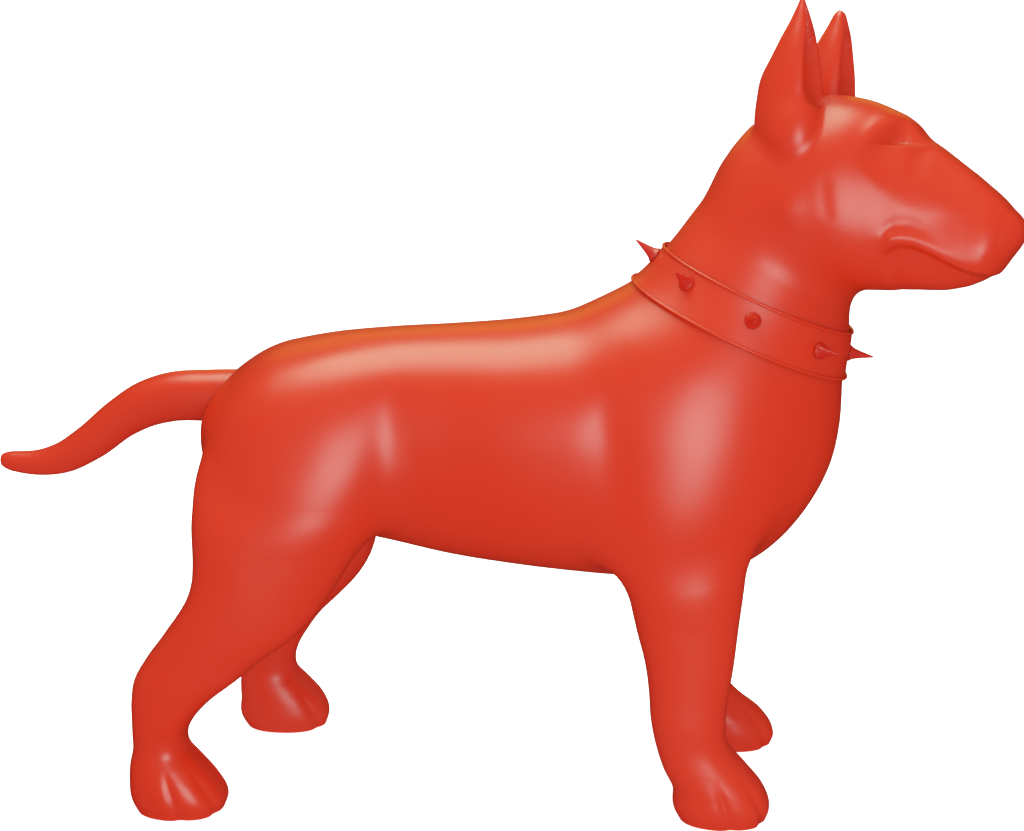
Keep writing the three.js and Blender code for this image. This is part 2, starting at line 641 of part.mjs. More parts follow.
// The legs: hollow from the sole to the trunk, scribed to the trunk's skin at the top
const PLATE_TOP = PAD_THICKNESS + PLATE_THICKNESS;
const LEG_STATIONS = [20, 36, 54, 70, 90, 116, 142, 170, 200, 230, 262, 300, 340, 385];
const legAngles = evenAngles(LEG_RAYS);
function legRow(leg, skin, z, level) {
  const [x, y] = leg.at(z);
  const centre = new THREE.Vector3(x, leg.side * y, z);
  const way = (angle) => new THREE.Vector3(Math.cos(angle), Math.sin(angle), 0);
  return legAngles.map((angle) => reach(skin, centre, way(angle), level));
}
function legBody(leg) {
  const skin = legShell(leg);
  const heights = [SOLE_RISE, PAD_THICKNESS, PLATE_TOP, ...LEG_STATIONS];
  const outer = heights.map((z) => legRow(leg, skin, z, 0));
  const inner = heights.map((z) => legRow(leg, skin, z, -WALL));
  return solid(shell(outer, inner, true));
}
// The yokes lie above the middle of the trunk, and the rods end under them
const middleHeight = (x) => (trunkAt(x)[0] + trunkAt(x)[1]) / 2;
const yokeHeight = (middleHeight(SHOULDER_YOKE_X) + middleHeight(HIP_YOKE_X)) / 2 + YOKE_RISE;
const ROD_LEVELS = [30, 60, 90, 120, 160, 200, 250, 300, 340];
const ROD_STRAIGHT = 18;
const ROD_TOP = yokeHeight - YOKE_SECTION / 2 - SEAM_GAP;
function rodPath(leg, yokeX) {
  const foot = PLATE_TOP + SEAM_GAP;
  const point = (z, height = z) => new THREE.Vector3(leg.at(z)[0], leg.side * leg.at(z)[1], height);
  const head = new THREE.Vector3(yokeX, leg.side * leg.at(ROD_TOP)[1], 0);
  return new THREE.CatmullRomCurve3([point(foot), point(foot, foot + ROD_STRAIGHT / 2),
    ...ROD_LEVELS.map((z) => point(z)),
    head.clone().setZ(ROD_TOP - ROD_STRAIGHT), head.clone().setZ(ROD_TOP)]);
}
const ROD_STEPS = 12;
function rod(path, radius) {
  const section = new THREE.Shape().absarc(0, 0, radius, 0, 2 * Math.PI);
  const options = { steps: ROD_STEPS, curveSegments: ROD_SIDES / 2, extrudePath: path };
  return new THREE.ExtrudeGeometry(section, options);
}
function padShape(row, share) {
  const middle = row.reduce((sum, p) => sum.add(p), new THREE.Vector3()).divideScalar(row.length);
  return new THREE.Shape(row.map((p) => new THREE.Vector2(middle.x + (p.x - middle.x) * share,
    middle.y + (p.y - middle.y) * share)));
}
let rightTrunk = trunkHalf(Math.PI, false).translate(0, -SEAM_GAP / 2, 0);
let leftTrunk = trunkHalf(0, true).translate(0, SEAM_GAP / 2, 0);
for (const leg of LEGS) {
  const skin = legShell(leg);
  const yokeX = leg.name.startsWith('fore') ? SHOULDER_YOKE_X : HIP_YOKE_X;
  const path = rodPath(leg, yokeX);
  const hole = solid(rod(path, ROD_DIAMETER / 2 + ROD_CLEARANCE));
  if (leg.side < 0) rightTrunk = rightTrunk.subtract(hole);
  else leftTrunk = leftTrunk.subtract(hole);
  add(leg.name, geometryOf(legBody(leg).subtract(trunkCutter)), lacquer());
  add(`${leg.name}_rod`, rod(path, ROD_DIAMETER / 2), steel());
  const plateLevel = -WALL - JOINT_GAP;
  const plateFoot = legRow(leg, skin, PAD_THICKNESS, plateLevel);
  add(`${leg.name}_plate`, lump([plateFoot, legRow(leg, skin, PLATE_TOP, plateLevel)]), steel());
  const padOptions = { depth: PAD_THICKNESS - SEAM_GAP, bevelEnabled: false };
  const pad = new THREE.ExtrudeGeometry(padShape(plateFoot, PAD_SHARE), padOptions);
  add(`${leg.name}_pad`, pad, rubber());
}
const SPIGOT_CLEARANCE = 0.42;
const SPIGOT_END_ROOM = 6;
const tailHole = tailSpigot(TAIL_SPIGOT_DIAMETER / 2 + SPIGOT_CLEARANCE, SPIGOT_END_ROOM);
add('trunk_right', geometryOf(rightTrunk.subtract(tailHole)), lacquer());
add('trunk_left', geometryOf(leftTrunk.subtract(tailHole)), lacquer());

// The armature across and along the trunk: a yoke over each pair of legs and a tube between them
function yoke(name, x, leg) {
  const reachOut = 2 * (leg.at(ROD_TOP)[1] + ROD_DIAMETER);
  const geometry = new THREE.BoxGeometry(YOKE_SECTION, reachOut, YOKE_SECTION);
  add(name, geometry.translate(x, 0, yokeHeight), steel());
}
yoke('shoulder_yoke', SHOULDER_YOKE_X, LEGS[0]);
yoke('hip_yoke', HIP_YOKE_X, LEGS[2]);
const spineFrom = new THREE.Vector3(HIP_YOKE_X + YOKE_SECTION / 2 + SEAM_GAP, 0, yokeHeight);
const spineTo = new THREE.Vector3(SHOULDER_YOKE_X - YOKE_SECTION / 2 - SEAM_GAP, 0, yokeHeight);
add('spine_tube', bar(spineFrom, spineTo, SPINE_DIAMETER / 2), steel());

// The collar: a band with a rolled edge above and below, drawn round the neck by the same rays
const COLLAR_BEAD_POINTS = 3;
function collarProfile() {
  const edge = COLLAR_WIDTH / 2;
  const face = COLLAR_CLEARANCE + COLLAR_BAND;
  const bead = Array.from({ length: COLLAR_BEAD_POINTS + 1 },
    (unused, i) => THREE.MathUtils.degToRad(-20 + (220 * i) / COLLAR_BEAD_POINTS));
  const rim = (side) => bead.map((angle) => [side * (edge - COLLAR_BEAD + COLLAR_BEAD * Math.cos(angle)),
    face + COLLAR_BEAD * (Math.sin(angle) - Math.sin(bead[0]))]);
  const bandHalf = edge - 2 * COLLAR_BEAD;
  const band = [bandHalf / 2, 0, -bandHalf / 2].map((height) => [height, face]);
  const inside = [1 - edge, 0, edge - 1].map((height) => [height, COLLAR_CLEARANCE]);
  return [...inside,
    ...rim(1), ...band, ...rim(-1).reverse()];
}
const collarAngles = evenAngles(COLLAR_RAYS);
const collarRow = ([height, level]) => pageRow(bodySkin, moved(collarPage, height), collarAngles, level);
let collar = solid(hoop(collarProfile().map(collarRow)));

// The spikes: cones with a foot and a short shank, screwed through the band square to it
const SPIKE_SIDES = 8;
function spikeGeometry() {
  const foot = SPIKE_BASE_DIAMETER / 2;
  const shank = SPIKE_SHANK_DIAMETER / 2;
  const profile = [[0, -COLLAR_BAND], [shank, -COLLAR_BAND], [shank, 0], [foot, 0], [foot, 1.2],
    [foot * 0.82, 2.6], [foot * 0.46, SPIKE_LENGTH * 0.42], [0.5, SPIKE_LENGTH - 0.6], [0, SPIKE_LENGTH]];
  return new THREE.LatheGeometry(profile.map(([x, y]) => new THREE.Vector2(x, y)), SPIKE_SIDES);
}
function spikeSeat(angle) {
  const level = COLLAR_CLEARANCE + COLLAR_BAND + SPIKE_SEAT_GAP;
  const foot = SPIKE_BASE_DIAMETER / 2;
  const at = (turn, height) => {
    const { centre } = moved(collarPage, height);
    return reach(bodySkin, centre, ray(collarPage, turn), level);
  };
  const around = at(angle + 0.05, 0).sub(at(angle - 0.05, 0));
  const across = at(angle, foot).sub(at(angle, -foot));
  const out = new THREE.Vector3().crossVectors(around, across).normalize();
  return { seat: at(angle, 0), out: out.dot(ray(collarPage, angle)) < 0 ? out.negate() : out };
}
for (let i = 0; i < SPIKE_COUNT; i += 1) {
  const { seat, out } = spikeSeat((2 * Math.PI * i) / SPIKE_COUNT);
  const stand = new THREE.Quaternion().setFromUnitVectors(new THREE.Vector3(0, 1, 0), out);
  add(`spike_${i + 1}`, spikeGeometry().applyQuaternion(stand).translate(...seat.toArray()), steel());
  collar = collar.subtract(solid(bar(seat.clone().addScaledVector(out, -COLLAR_BAND * 2),
    seat.clone().addScaledVector(out, COLLAR_BEAD), SPIKE_SHANK_DIAMETER / 2 + SEAM_GAP, 10)));
}
add('collar', geometryOf(collar), lacquer());

// The origin: on the floor under the middle of the whole statue
const box = new THREE.Box3().setFromObject(dog);
const middle = box.getCenter(new THREE.Vector3());
for (const piece of dog.children) piece.position.set(-middle.x, -middle.y, -box.min.z);

export default dog;
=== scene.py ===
# %% [markdown]
# # A lacquered bull terrier statue
# The statue is a hollow moulded skin over a steel armature. It stands on four paws, wears a spiked collar
# of the same colour, and is sprayed with one satin red-orange lacquer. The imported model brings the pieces
# at their real size. This notebook makes the fine skin that the eye sees, and puts it around that model.

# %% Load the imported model
import math
from functools import partial

import bpy
import numpy as np
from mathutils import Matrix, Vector


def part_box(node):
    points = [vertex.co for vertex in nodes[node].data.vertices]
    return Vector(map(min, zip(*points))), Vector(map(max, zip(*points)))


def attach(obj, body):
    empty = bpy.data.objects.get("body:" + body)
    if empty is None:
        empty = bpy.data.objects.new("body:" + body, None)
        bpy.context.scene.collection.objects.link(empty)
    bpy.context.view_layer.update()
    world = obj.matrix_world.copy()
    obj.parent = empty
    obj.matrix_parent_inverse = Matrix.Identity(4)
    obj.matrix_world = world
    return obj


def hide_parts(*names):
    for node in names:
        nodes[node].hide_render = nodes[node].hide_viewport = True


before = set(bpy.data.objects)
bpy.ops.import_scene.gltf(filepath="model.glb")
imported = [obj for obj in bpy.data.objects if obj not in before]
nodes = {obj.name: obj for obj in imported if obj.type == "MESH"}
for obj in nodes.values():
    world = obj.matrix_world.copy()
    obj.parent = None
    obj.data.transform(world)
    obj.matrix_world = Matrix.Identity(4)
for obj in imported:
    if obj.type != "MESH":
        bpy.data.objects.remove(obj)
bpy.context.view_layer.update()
print("packed pieces:", len(nodes))

# %% [markdown]
# ## One drawing frame
# The shapes are drawn in millimetres about the middle of the statue's trunk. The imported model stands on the
# floor under the middle of its box, so one shift carries a drawing onto it. The spine tube is straight and
# lies on the middle plane, and its own middle is known in both, so it gives the shift.

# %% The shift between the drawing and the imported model
MM = 0.001
SPINE_MIDDLE = (-12.5, 0.0)
spine_low, spine_high = (np.array(corner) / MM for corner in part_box("spine_tube"))
SHIFT = np.append((spine_low + spine_high)[:2] / 2 - SPINE_MIDDLE, 0.0)
print("shift of the drawing in mm:", np.round(SHIFT, 2))


# %% [markdown]
# ## The skin as a formula
# A sculptor would model this in clay. Here every form is a signed distance: a formula that is negative
# inside the form, zero on its skin and positive outside. Two forms join with a smooth minimum, which lays
# a fillet of chosen size into the corner between them, as a thumb does in clay. Sculpt strokes could make
# the same swellings, but a formula gives one exact skin, so pieces cut from it meet without a seam.

# %% Stations, fillets and sections
# powers of a superellipse: 2 is an ellipse, and more is squarer
ELLIPSE, HEAD_FULLNESS, FULLNESS = 2, 2.25, 2.3
END_SOFTNESS, STROKE_FADE = 15, 0.4


def stations(rows):
    """A table read as smooth curves: cubic Hermite pieces through its rows, sloped by the neighbours."""
    rows = np.array(rows, float)
    place, values = rows[:, 0], rows[:, 1:]
    slopes = np.gradient(values, place, axis=0)

    def at(where):
        where = np.clip(where, place[0], place[-1])
        i = np.clip(np.searchsorted(place, where, side="right") - 1, 0, len(place) - 2)
        span = place[i + 1] - place[i]
        u = (where - place[i]) / span
        start, rise = 2 * u**3 - 3 * u**2 + 1, u**3 - 2 * u**2 + u
        end, fall = 3 * u**2 - 2 * u**3, u**3 - u**2
        return [start * v[i] + rise * span * s[i] + end * v[i + 1] + fall * span * s[i + 1]
                for v, s in zip(values.T, slopes.T)]

    return at


def blend(a, b, size):
    """Smooth minimum: the lesser of a and b, less size h (1 - h), where h goes from 0 to 1 as they cross."""
    h = np.clip(0.5 + 0.5 * (b - a) / size, 0, 1)
    return b + (a - b) * h - size * h * (1 - h)


def fold(own, other, size):
    """The blend of two forms, turned back on itself where the other begins, so that every ray ends on it."""
    return blend(own, own + np.abs(other - own), size)


def section(u, v, half_u, half_v, power, ends=()):
    """Superellipse: the power sum of u and v over their half sizes, and of how far into an end they are."""
    total = np.abs(u / half_u) ** power + np.abs(v / half_v) ** power
    for end in ends:
        total = total + end**power
    return (total ** (1 / power) - 1) * np.sqrt(half_u * half_v)


def ball(u, v, w, size):
    """Ellipsoid: the length of the point over the half sizes, less one, times their mean."""
    length = np.sqrt((u / size[0]) ** 2 + (v / size[1]) ** 2 + (w / size[2]) ** 2)
    return (length - 1) * np.cbrt(np.prod(size))


def into(place, start, end):
    """How far a place lies into a rounded end: 0 at its start and 1 at the very end."""
    return np.maximum(0, (place - start) / (end - start))


def past(place, low, high):
    """Grows gently from nothing, then as twice the distance beyond a range, so that a form ends there."""
    beyond = np.maximum(0, np.maximum(low - place, place - high))
    return 2 * beyond**2 / (beyond + END_SOFTNESS)


def ramp(t):
    """Smooth step from 0 at t = 0 to 1 at t = 1."""
    t = np.clip(t, 0, 1)
    return t * t * (3 - 2 * t)


def fade(t):
    """Smooth step from 1 at t = 0 to 0 at t = 1."""
    return 1 - ramp(t)


def hump(t):
    """Bell curve: 1 at 0, and near nothing past 2."""
    return np.exp(-t * t)


def off_line(u, v, start, end):
    """Distance to the line from start to end, positive on its right, and the share along it."""
    du, dv = end[0] - start[0], end[1] - start[1]
    length = math.hypot(du, dv)
    share = ((u - start[0]) * du + (v - start[1]) * dv) / length**2
    return ((u - start[0]) * dv - (v - start[1]) * du) / length, share


def stroke(u, v, start, end, depth, width, before=0.0, after=1.05):
    """A groove along a line: a bell across it, faded in from `before` and out to `after`, in shares of it."""
    off, share = off_line(u, v, start, end)
    return depth * hump(off / width) \
        * ramp((share - before) / STROKE_FADE) * ramp((after - share) / STROKE_FADE)


# %% [markdown]
# ## Trunk and neck
# The trunk is one long barrel: deep at the chest, tucked up at the belly, round at the rump. Its table holds
# the outline at thirteen places, as boat frames do. The neck is a second barrel on a leaning axis, and the
# two are joined by a wide fillet, which makes the withers and the chest.

# %% The trunk and the neck
# x, top, bottom, half width
TRUNK = [
    (-314, 425, 294, 88), (-280, 435, 281, 98), (-240, 448, 276, 104), (-180, 461, 268, 102),
    (-120, 468, 255, 96), (-60, 472, 242, 100), (0, 477, 234, 110), (60, 486, 228, 116),
    (120, 498, 224, 118), (180, 502, 225, 117), (240, 486, 240, 108), (290, 464, 268, 98),
    (330, 440, 304, 90),
]
TRUNK_REAR, TRUNK_FRONT = (-221, -313), (212, 321)
NECK_FOOT, NECK_LEAN = (175, 396), math.radians(65.4)
# distance up the neck's axis, back, front, half width
NECK = [
    (-70, 84, -78, 74), (-20, 102, -97, 98), (40, 114, -114, 104), (90, 96, -119, 98), (129, 88, -112, 89),
    (150, 83, -102, 84), (170, 79, -95, 80), (210, 71, -82, 76), (240, 67, -78, 72), (270, 60, -60, 66),
]
BLEND_NECK, BLEND_MUSCLE, BLEND_HEAD, BLEND_LEG = 45, 35, 24, 13
trunk_at, neck_at = stations(TRUNK), stations(NECK)


def trunk_skin(x, y, z):
    """Upright superellipses between the top and bottom curves, rounded at both ends."""
    top, bottom, half = trunk_at(x)
    ends = into(x, *TRUNK_REAR), into(x, *TRUNK_FRONT)
    return section(z - (top + bottom) / 2, y, (top - bottom) / 2, half, FULLNESS, ends)


def neck_skin(x, y, z):
    """Ellipses square to the neck's leaning axis."""
    dx, dz = x - NECK_FOOT[0], z - NECK_FOOT[1]
    along = dx * math.cos(NECK_LEAN) + dz * math.sin(NECK_LEAN)
    across = dz * math.cos(NECK_LEAN) - dx * math.sin(NECK_LEAN)
    back, front, half = neck_at(along)
    skin = section(across - (back + front) / 2, y, (back - front) / 2, half, ELLIPSE)
    return skin + past(along, NECK[0][0], NECK[-1][0])


# %% [markdown]
# ## The head in its own frame
# The head is turned a quarter of a right angle towards the dog's right, so it is drawn in a frame of its
# own: forward, left and up from a point inside the skull. The egg-shaped profile of the breed, with no stop
# between forehead and nose, is the top column of the table.

# %% The head's frame and form
HEAD_PIVOT = np.array([262.0, 0.0, 591.0])
HEAD_TURN, HEAD_LEAN = math.radians(-24.5), math.radians(77)
# forward, top, bottom, half width
HEAD = [
    (-50, 62, -50, 60), (-20, 80, -60, 68), (10, 97, -67, 75), (44, 109, -72, 79),
    (75, 107.5, -73, 76), (105, 98, -72, 65), (121, 90.5, -71.5, 59), (131, 83, -71.5, 56),
    (139, 74, -71, 54), (155, 63, -70.5, 51), (175, 49, -69.5, 47.5), (190, 38.5, -67.5, 44.5),
    (205, 27, -60, 41.5), (222, 15.5, -42, 36.5), (238, 8, -28, 31),
]
HEAD_FRONT, HEAD_BACK = (204, 237.5), (-15, -60)
head_at = stations(HEAD)


def turn_about(axis, angle):
    """Rodrigues' rotation: the identity, sine times the cross matrix, and the rest times its square."""
    k = np.array([[0, -axis[2], axis[1]], [axis[2], 0, -axis[0]], [-axis[1], axis[0], 0]])
    return np.eye(3) + math.sin(angle) * k + (1 - math.cos(angle)) * k @ k


HEAD_WAYS = turn_about((math.cos(HEAD_LEAN), 0, math.sin(HEAD_LEAN)), HEAD_TURN)
FORWARD, HEAD_LEFT, UP = HEAD_WAYS.T


def head_local(x, y, z):
    """Forward, left and up of points, measured from the head's pivot."""
    away = np.stack([x - HEAD_PIVOT[0], y - HEAD_PIVOT[1], z - HEAD_PIVOT[2]])
    return np.tensordot(HEAD_WAYS.T, away, 1)


def head_point(forward, left, up):
    """The point of the drawing that has these head measures."""
    return HEAD_PIVOT + np.multiply.outer(forward, FORWARD) + np.multiply.outer(left, HEAD_LEFT) \
        + np.multiply.outer(up, UP)


# %% [markdown]
# ## The face
# The face is carved into the egg: a narrow, shut-looking eye in a three-cornered hollow under the brow, a
# mouth line that starts in a small pouch and runs under a full upper lip, a faint edge round the nose, and a
# soft groove before the cheek. The muzzle's sides slant inwards above the lip. Each is a depth in millimetres
# as a function of forward and up, so both sides of the face get it, and the width decides how far it reaches
# round. In ramp((place - start) / length), start and length are millimetres in the head's frame.

# %% The carved face
SLIT_UP = 65
# foot and top of the brow line, forward and up
BROW = (93, 61), (116, 91)
# top and foot of the cheek's front edge
CHEEK = (84, 62), (128, 16)
# start, end, height and width of the lids' ridges, and of the groove between the cheek's two swellings
LIDS = [((126, 71.5), (145, 67.5), 2.2, 4.2), ((133, 62.5), (151, 64.5), 1.7, 3.2)]
CHEEK_GROOVE = (66, 36), (72, -4), 0.9, 7
# the mouth line: forward, up
MOUTH = [
    (118, -35), (125, -30), (133, -27), (142, -27), (156, -31), (174, -39.5), (190, -47), (205, -51),
    (242, -54),
]
HOLLOW_DEPTH, UNDER_LID_DEPTH, BROW_RISE = 5.2, 6.2, 1.1
LIP_STEP, LIP_ROLL, LIP_VALLEY, LIP_POUCH = 5.5, 3.2, 1.7, 1.6
CHEEK_DROP, CHEEK_LOBE, NOSE_EDGE, MUZZLE_SLANT = 1.2, 4.8, 0.5, 5.5
mouth_at = stations(MOUTH)


def eye_hollow(f, width, u):
    """A hollow between a slanting brow line and the cheek's edge, deepest at the slit, less the lids."""
    below_brow, _ = off_line(f, u, *BROW)
    past_cheek, _ = off_line(f, u, *CHEEK)
    inside = blend(below_brow, 5 - past_cheek, 7)
    over_slit = u - SLIT_UP
    shut = np.where(over_slit > 0, 1, fade((-over_slit - 1) / 60))
    hollow = HOLLOW_DEPTH * ramp(inside / 19) * shut * fade((f - 122) / 58)
    under_lid = UNDER_LID_DEPTH * ramp(inside / 15) * ramp((over_slit + 1.2) / 3.0) \
        * (1 - 0.65 * ramp(over_slit / 24)) * fade((f - 132) / 19)
    brow = -BROW_RISE * hump((below_brow + 6) / 8) * ramp((f - 88) / 16) * ramp((over_slit + 4) / 10)
    lids = sum(stroke(f, u, *lid) for lid in LIDS)
    return (hollow + under_lid + brow * fade((f - 120) / 25) - lids) * ramp((width - 10) / 20)


def mouth_line(f, u):
    """A rolled upper lip that starts in a pouch, and a step in below it that fades towards the jaw."""
    level, = mouth_at(f)
    below = level - u
    step = LIP_STEP * ramp((below + 3) / 6) * (1 - 0.75 * ramp((below - 8) / 30))
    roll = LIP_ROLL * hump((below + 8) / 7.5) * (1 - 0.75 * ramp((f - 142) / 45))
    valley = LIP_VALLEY * hump((below + 21) / 8) * fade((f - 136) / 32)
    pouch = LIP_POUCH * np.exp(-(((f - 126) / 13) ** 2) - ((u + 21) / 8) ** 2)
    return (step - roll + valley) * ramp((f - 114) / 14) - pouch


def face(f, l, u):
    """All the carving of the face together, as a depth."""
    width = np.abs(l)
    side = ramp((width - 20) / 20)
    cheek, share = off_line(f, u, *CHEEK)
    drop = CHEEK_DROP * ramp((8 - cheek) / 24) * fade((-cheek - 12) / 50) * ramp((share + 0.1) / 0.5) \
        * ramp((1.5 - share) / 0.6) * side
    groove = stroke(f, u, *CHEEK_GROOVE, -0.1, 1.2)
    lobe = CHEEK_LOBE * np.exp(-(((f - 32) / 19) ** 2) - ((u - 5) / 22) ** 2)
    edge = NOSE_EDGE * hump((f - 0.12 * u - 222) / 4) * ramp((u + 34) / 12)
    slant = MUZZLE_SLANT * ramp((u + 42) / 46) * ramp((f - 128) / 50) * ramp((width - 10) / 22)
    return eye_hollow(f, width, u) + mouth_line(f, u) + drop + (groove - lobe) * side + edge + slant


def head_skin(x, y, z, carved):
    """The egg of the head, less the face where it is wanted."""
    f, l, u = head_local(x, y, z)
    top, bottom, half = head_at(f)
    ends = into(f, *HEAD_FRONT), into(f, *HEAD_BACK)
    skull = section(u - (top + bottom) / 2, l, (top - bottom) / 2, half, HEAD_FULLNESS, ends)
    return skull + face(f, l, u) if carved else skull


# %% [markdown]
# ## Muscles and creases
# Shoulder and thigh are egg-shaped swellings on the barrel. Between them the lacquer shows two soft upright
# creases, one behind the shoulder and one before the thigh. They are carved as bells across a line, a
# couple of millimetres deep, because a deeper cut would look like a seam.

# %% The body without its legs
# centre, half sizes, tilt in degrees, and how far the outer face leans outwards per height downwards
MUSCLES = [((170, 85, 345), (80, 45, 118), -12, 0.14), ((-210, 79, 314), (82, 51, 122), -32, 0.16)]
# start and end as x and z, depth and width of the stroke
CREASES = [((-112, 425), (-122, 300), 1.8, 17), ((96, 430), (116, 262), 2.6, 20)]
# distances from the middle plane over which a crease deepens
CREASE_FROM, CREASE_FADE = 30, 40


def muscle_skin(x, y, z, muscle):
    """An ellipsoid tilted in the side view, on both sides of the trunk."""
    (cx, cy, cz), size, tilt, lean = muscle
    turn = math.radians(tilt)
    dx, dz = x - cx, z - cz
    return ball(dx * math.cos(turn) + dz * math.sin(turn), np.abs(y) - cy + lean * dz,
                dz * math.cos(turn) - dx * math.sin(turn), size)


def body_skin(x, y, z, carved=False):
    """Trunk, neck, muscles and head joined with fillets, with the creases carved in."""
    skin = blend(trunk_skin(x, y, z), neck_skin(x, y, z), BLEND_NECK)
    for muscle in MUSCLES:
        skin = blend(skin, muscle_skin(x, y, z, muscle), BLEND_MUSCLE)
    for crease in CREASES:
        skin = skin + stroke(x, z, *crease, -0.15, 1.15) * ramp((np.abs(y) - CREASE_FROM) / CREASE_FADE)
    return blend(skin, head_skin(x, y, z, carved), BLEND_HEAD)


# %% [markdown]
# ## Legs and paws
# Each leg is a stack of sections from the sole upwards: long paw, thin pastern, hock or elbow, and a top
# that ends inside the trunk. Toes are shallow grooves fanned round the front of the paw. A thigh's section
# is skewed, so that its outer face turns backwards high up and forwards low down, as the muscle does.

# %% The legs
# height, x, distance from the middle plane, half length, half width
FORELEG = [
    (0, 215, 98, 42, 36), (12, 214, 98, 47, 40), (33, 210, 98, 44.5, 39), (53, 197.5, 98, 41.5, 36),
    (74, 185, 97, 36, 34), (103, 180, 96, 37, 35), (128, 180, 95, 39, 35), (157, 180, 94, 43, 36),
    (196, 177, 92, 50, 39), (242, 175, 90, 57, 42), (296, 178, 82, 58, 36), (336, 179, 73, 49, 28),
    (396, 180, 58, 34, 18),
]
HIND_RIGHT = [
    (0, -324, 111, 42, 38), (12, -325, 111, 47, 41), (32, -331, 110, 43, 40), (48, -337, 109, 36, 36),
    (63, -342, 108, 28, 31), (78, -343, 108, 27, 30), (92, -340, 108, 30, 31), (113, -331, 107, 39, 32),
    (135, -315, 106, 51, 33), (154, -298, 105, 57, 34), (180, -271, 103, 65, 38), (223, -240, 98.5, 69, 41),
    (257, -231, 94, 72, 43.5), (296, -224.5, 88, 80, 44), (336, -222, 76, 79, 34), (396, -206, 58, 46, 22),
]
HIND_LEFT = [
    (0, -257.5, 118, 42.5, 37), (12, -259, 118, 48, 40), (32, -262.5, 118, 44.5, 39),
    (48, -269, 117, 38, 35), (63, -275, 116, 31, 30), (78, -276, 115, 30, 29), (92, -274, 114, 32, 30),
    (113, -268, 112, 38, 31),
    (135, -258.5, 110, 44.5, 33), (154, -244.5, 108, 49.5, 34), (180, -227.5, 105, 55.5, 37),
    (223, -214, 100, 62, 42), (257, -215, 95, 64, 45), (296, -215, 86, 70, 42), (336, -214, 76, 68, 34),
    (396, -206, 58, 44, 22),
]
LEFT_FORE_AHEAD = {0: 14, 12: 14, 33: 9}
FORE_LEFT = [(z, x + LEFT_FORE_AHEAD.get(z, 0), *rest) for z, x, *rest in FORELEG]
THIGH_SKEW, SKEW_MIDDLE, SKEW_REACH, SKEW_FOOT, SKEW_RISE = 0.14, 325, 60, 150, 80
# side, stations and skew
LEGS = {
    "foreleg_right": (-1, stations(FORELEG), 0),
    "foreleg_left": (1, stations(FORE_LEFT), 0),
    "hind_leg_right": (-1, stations(HIND_RIGHT), THIGH_SKEW),
    "hind_leg_left": (1, stations(HIND_LEFT), THIGH_SKEW),
}
LEG_TOP, PAW_HEIGHT, PAW_BACK, PAW_RADIUS = 396, 20.0, 6, 40
# degrees round the paw from straight ahead, and how much wider the fan is at the top
TOE_GROOVES, TOE_FAN = (66, 22, -24), 24
TOE_DEPTH, TOE_WIDTH, TOE_TOP, TOE_FADE_FROM, TOE_FADE = 2.2, 5.0, 56, 26, 30
# share of a groove's depth by which the toe beside it rises, its distance from the groove and its width
KNUCKLE, KNUCKLE_OFF, KNUCKLE_WIDTH = 0.35, 12, 9


def leg_skin(x, y, z, leg):
    """Level superellipses round the leg's curved middle line, with toe grooves in the paw."""
    side, at, skew = leg
    cx, cy, long, wide = at(z)
    across = side * y - cy - skew * (x - cx) * np.clip((z - SKEW_MIDDLE) / SKEW_REACH, -1, 1) \
        * ramp((z - SKEW_FOOT) / SKEW_RISE)
    skin = section(x - cx, across, long, wide, FULLNESS) + past(z, 0, LEG_TOP)
    paw_x, paw_y, *_ = at(np.full(1, PAW_HEIGHT))
    around = np.degrees(np.arctan2(side * y - paw_y, x - paw_x + PAW_BACK))
    rise = np.clip(z / TOE_TOP, 0, 1)
    toes = 0
    for groove in TOE_GROOVES:
        off = np.radians(around - groove - TOE_FAN * rise * np.sign(groove)) * PAW_RADIUS
        toes = toes + hump(off / TOE_WIDTH) - KNUCKLE * hump((off - KNUCKLE_OFF) / KNUCKLE_WIDTH)
    return skin + TOE_DEPTH * toes * fade((z - TOE_FADE_FROM) / TOE_FADE)


def body_with_legs(x, y, z, join=blend):
    """The whole skin of the body: the trunk joined to all four legs with fillets, or folded at them."""
    skin = body_skin(x, y, z)
    for leg in LEGS.values():
        skin = join(skin, leg_skin(x, y, z, leg), BLEND_LEG)
    return skin


# %% [markdown]
# ## From formula to points
# A skin is found along rays: each ray starts inside, walks outwards by a share of the distance that the
# formula gives, and the last step is halved until it is exact. Rays lie in pages, like the pages of a book,
# so a piece is a grid of page by angle. The formula's slope gives the exact normal at each point.

# %% Rays, pages and normals
WALK_SHARE, WALK_LEAST, HALVINGS, FLATTEST = 0.55, 0.7, 14, 0.05


def reach(field, start, way, most=430.0):
    """Distance of the field's zero along each ray, by careful walking and then by halving the last step."""
    shape = start.shape
    start, way = start.reshape(-1, 3), way.reshape(-1, 3)
    near, far = np.zeros(len(start)), np.full(len(start), most)
    here = near.copy()
    walking = np.arange(len(start))
    while len(walking):
        level = field(*(start[walking] + here[walking, None] * way[walking]).T)
        out = (level >= 0) | (here[walking] > most)
        far[walking[out]] = here[walking[out]]
        walking, level = walking[~out], level[~out]
        near[walking] = here[walking]
        here[walking] += WALK_SHARE * np.abs(level) + WALK_LEAST
    for _ in range(HALVINGS):
        middle = (near + far) / 2
        inside = field(*(start + middle[:, None] * way).T) < 0
        near, far = np.where(inside, middle, near), np.where(inside, far, middle)
    return (start + ((near + far) / 2)[:, None] * way).reshape(shape)


TETRAHEDRON = np.array([(1, -1, -1), (-1, -1, 1), (-1, 1, -1), (1, 1, 1)], float)


def slope(field, points, step=0.25):
    """Gradient of the field from its values at the four corners of a small tetrahedron."""
    flat = points.reshape(-1, 3)
    total = sum(corner * field(*(flat + step * corner).T)[:, None] for corner in TETRAHEDRON)
    return (total / (4 * step)).reshape(points.shape)


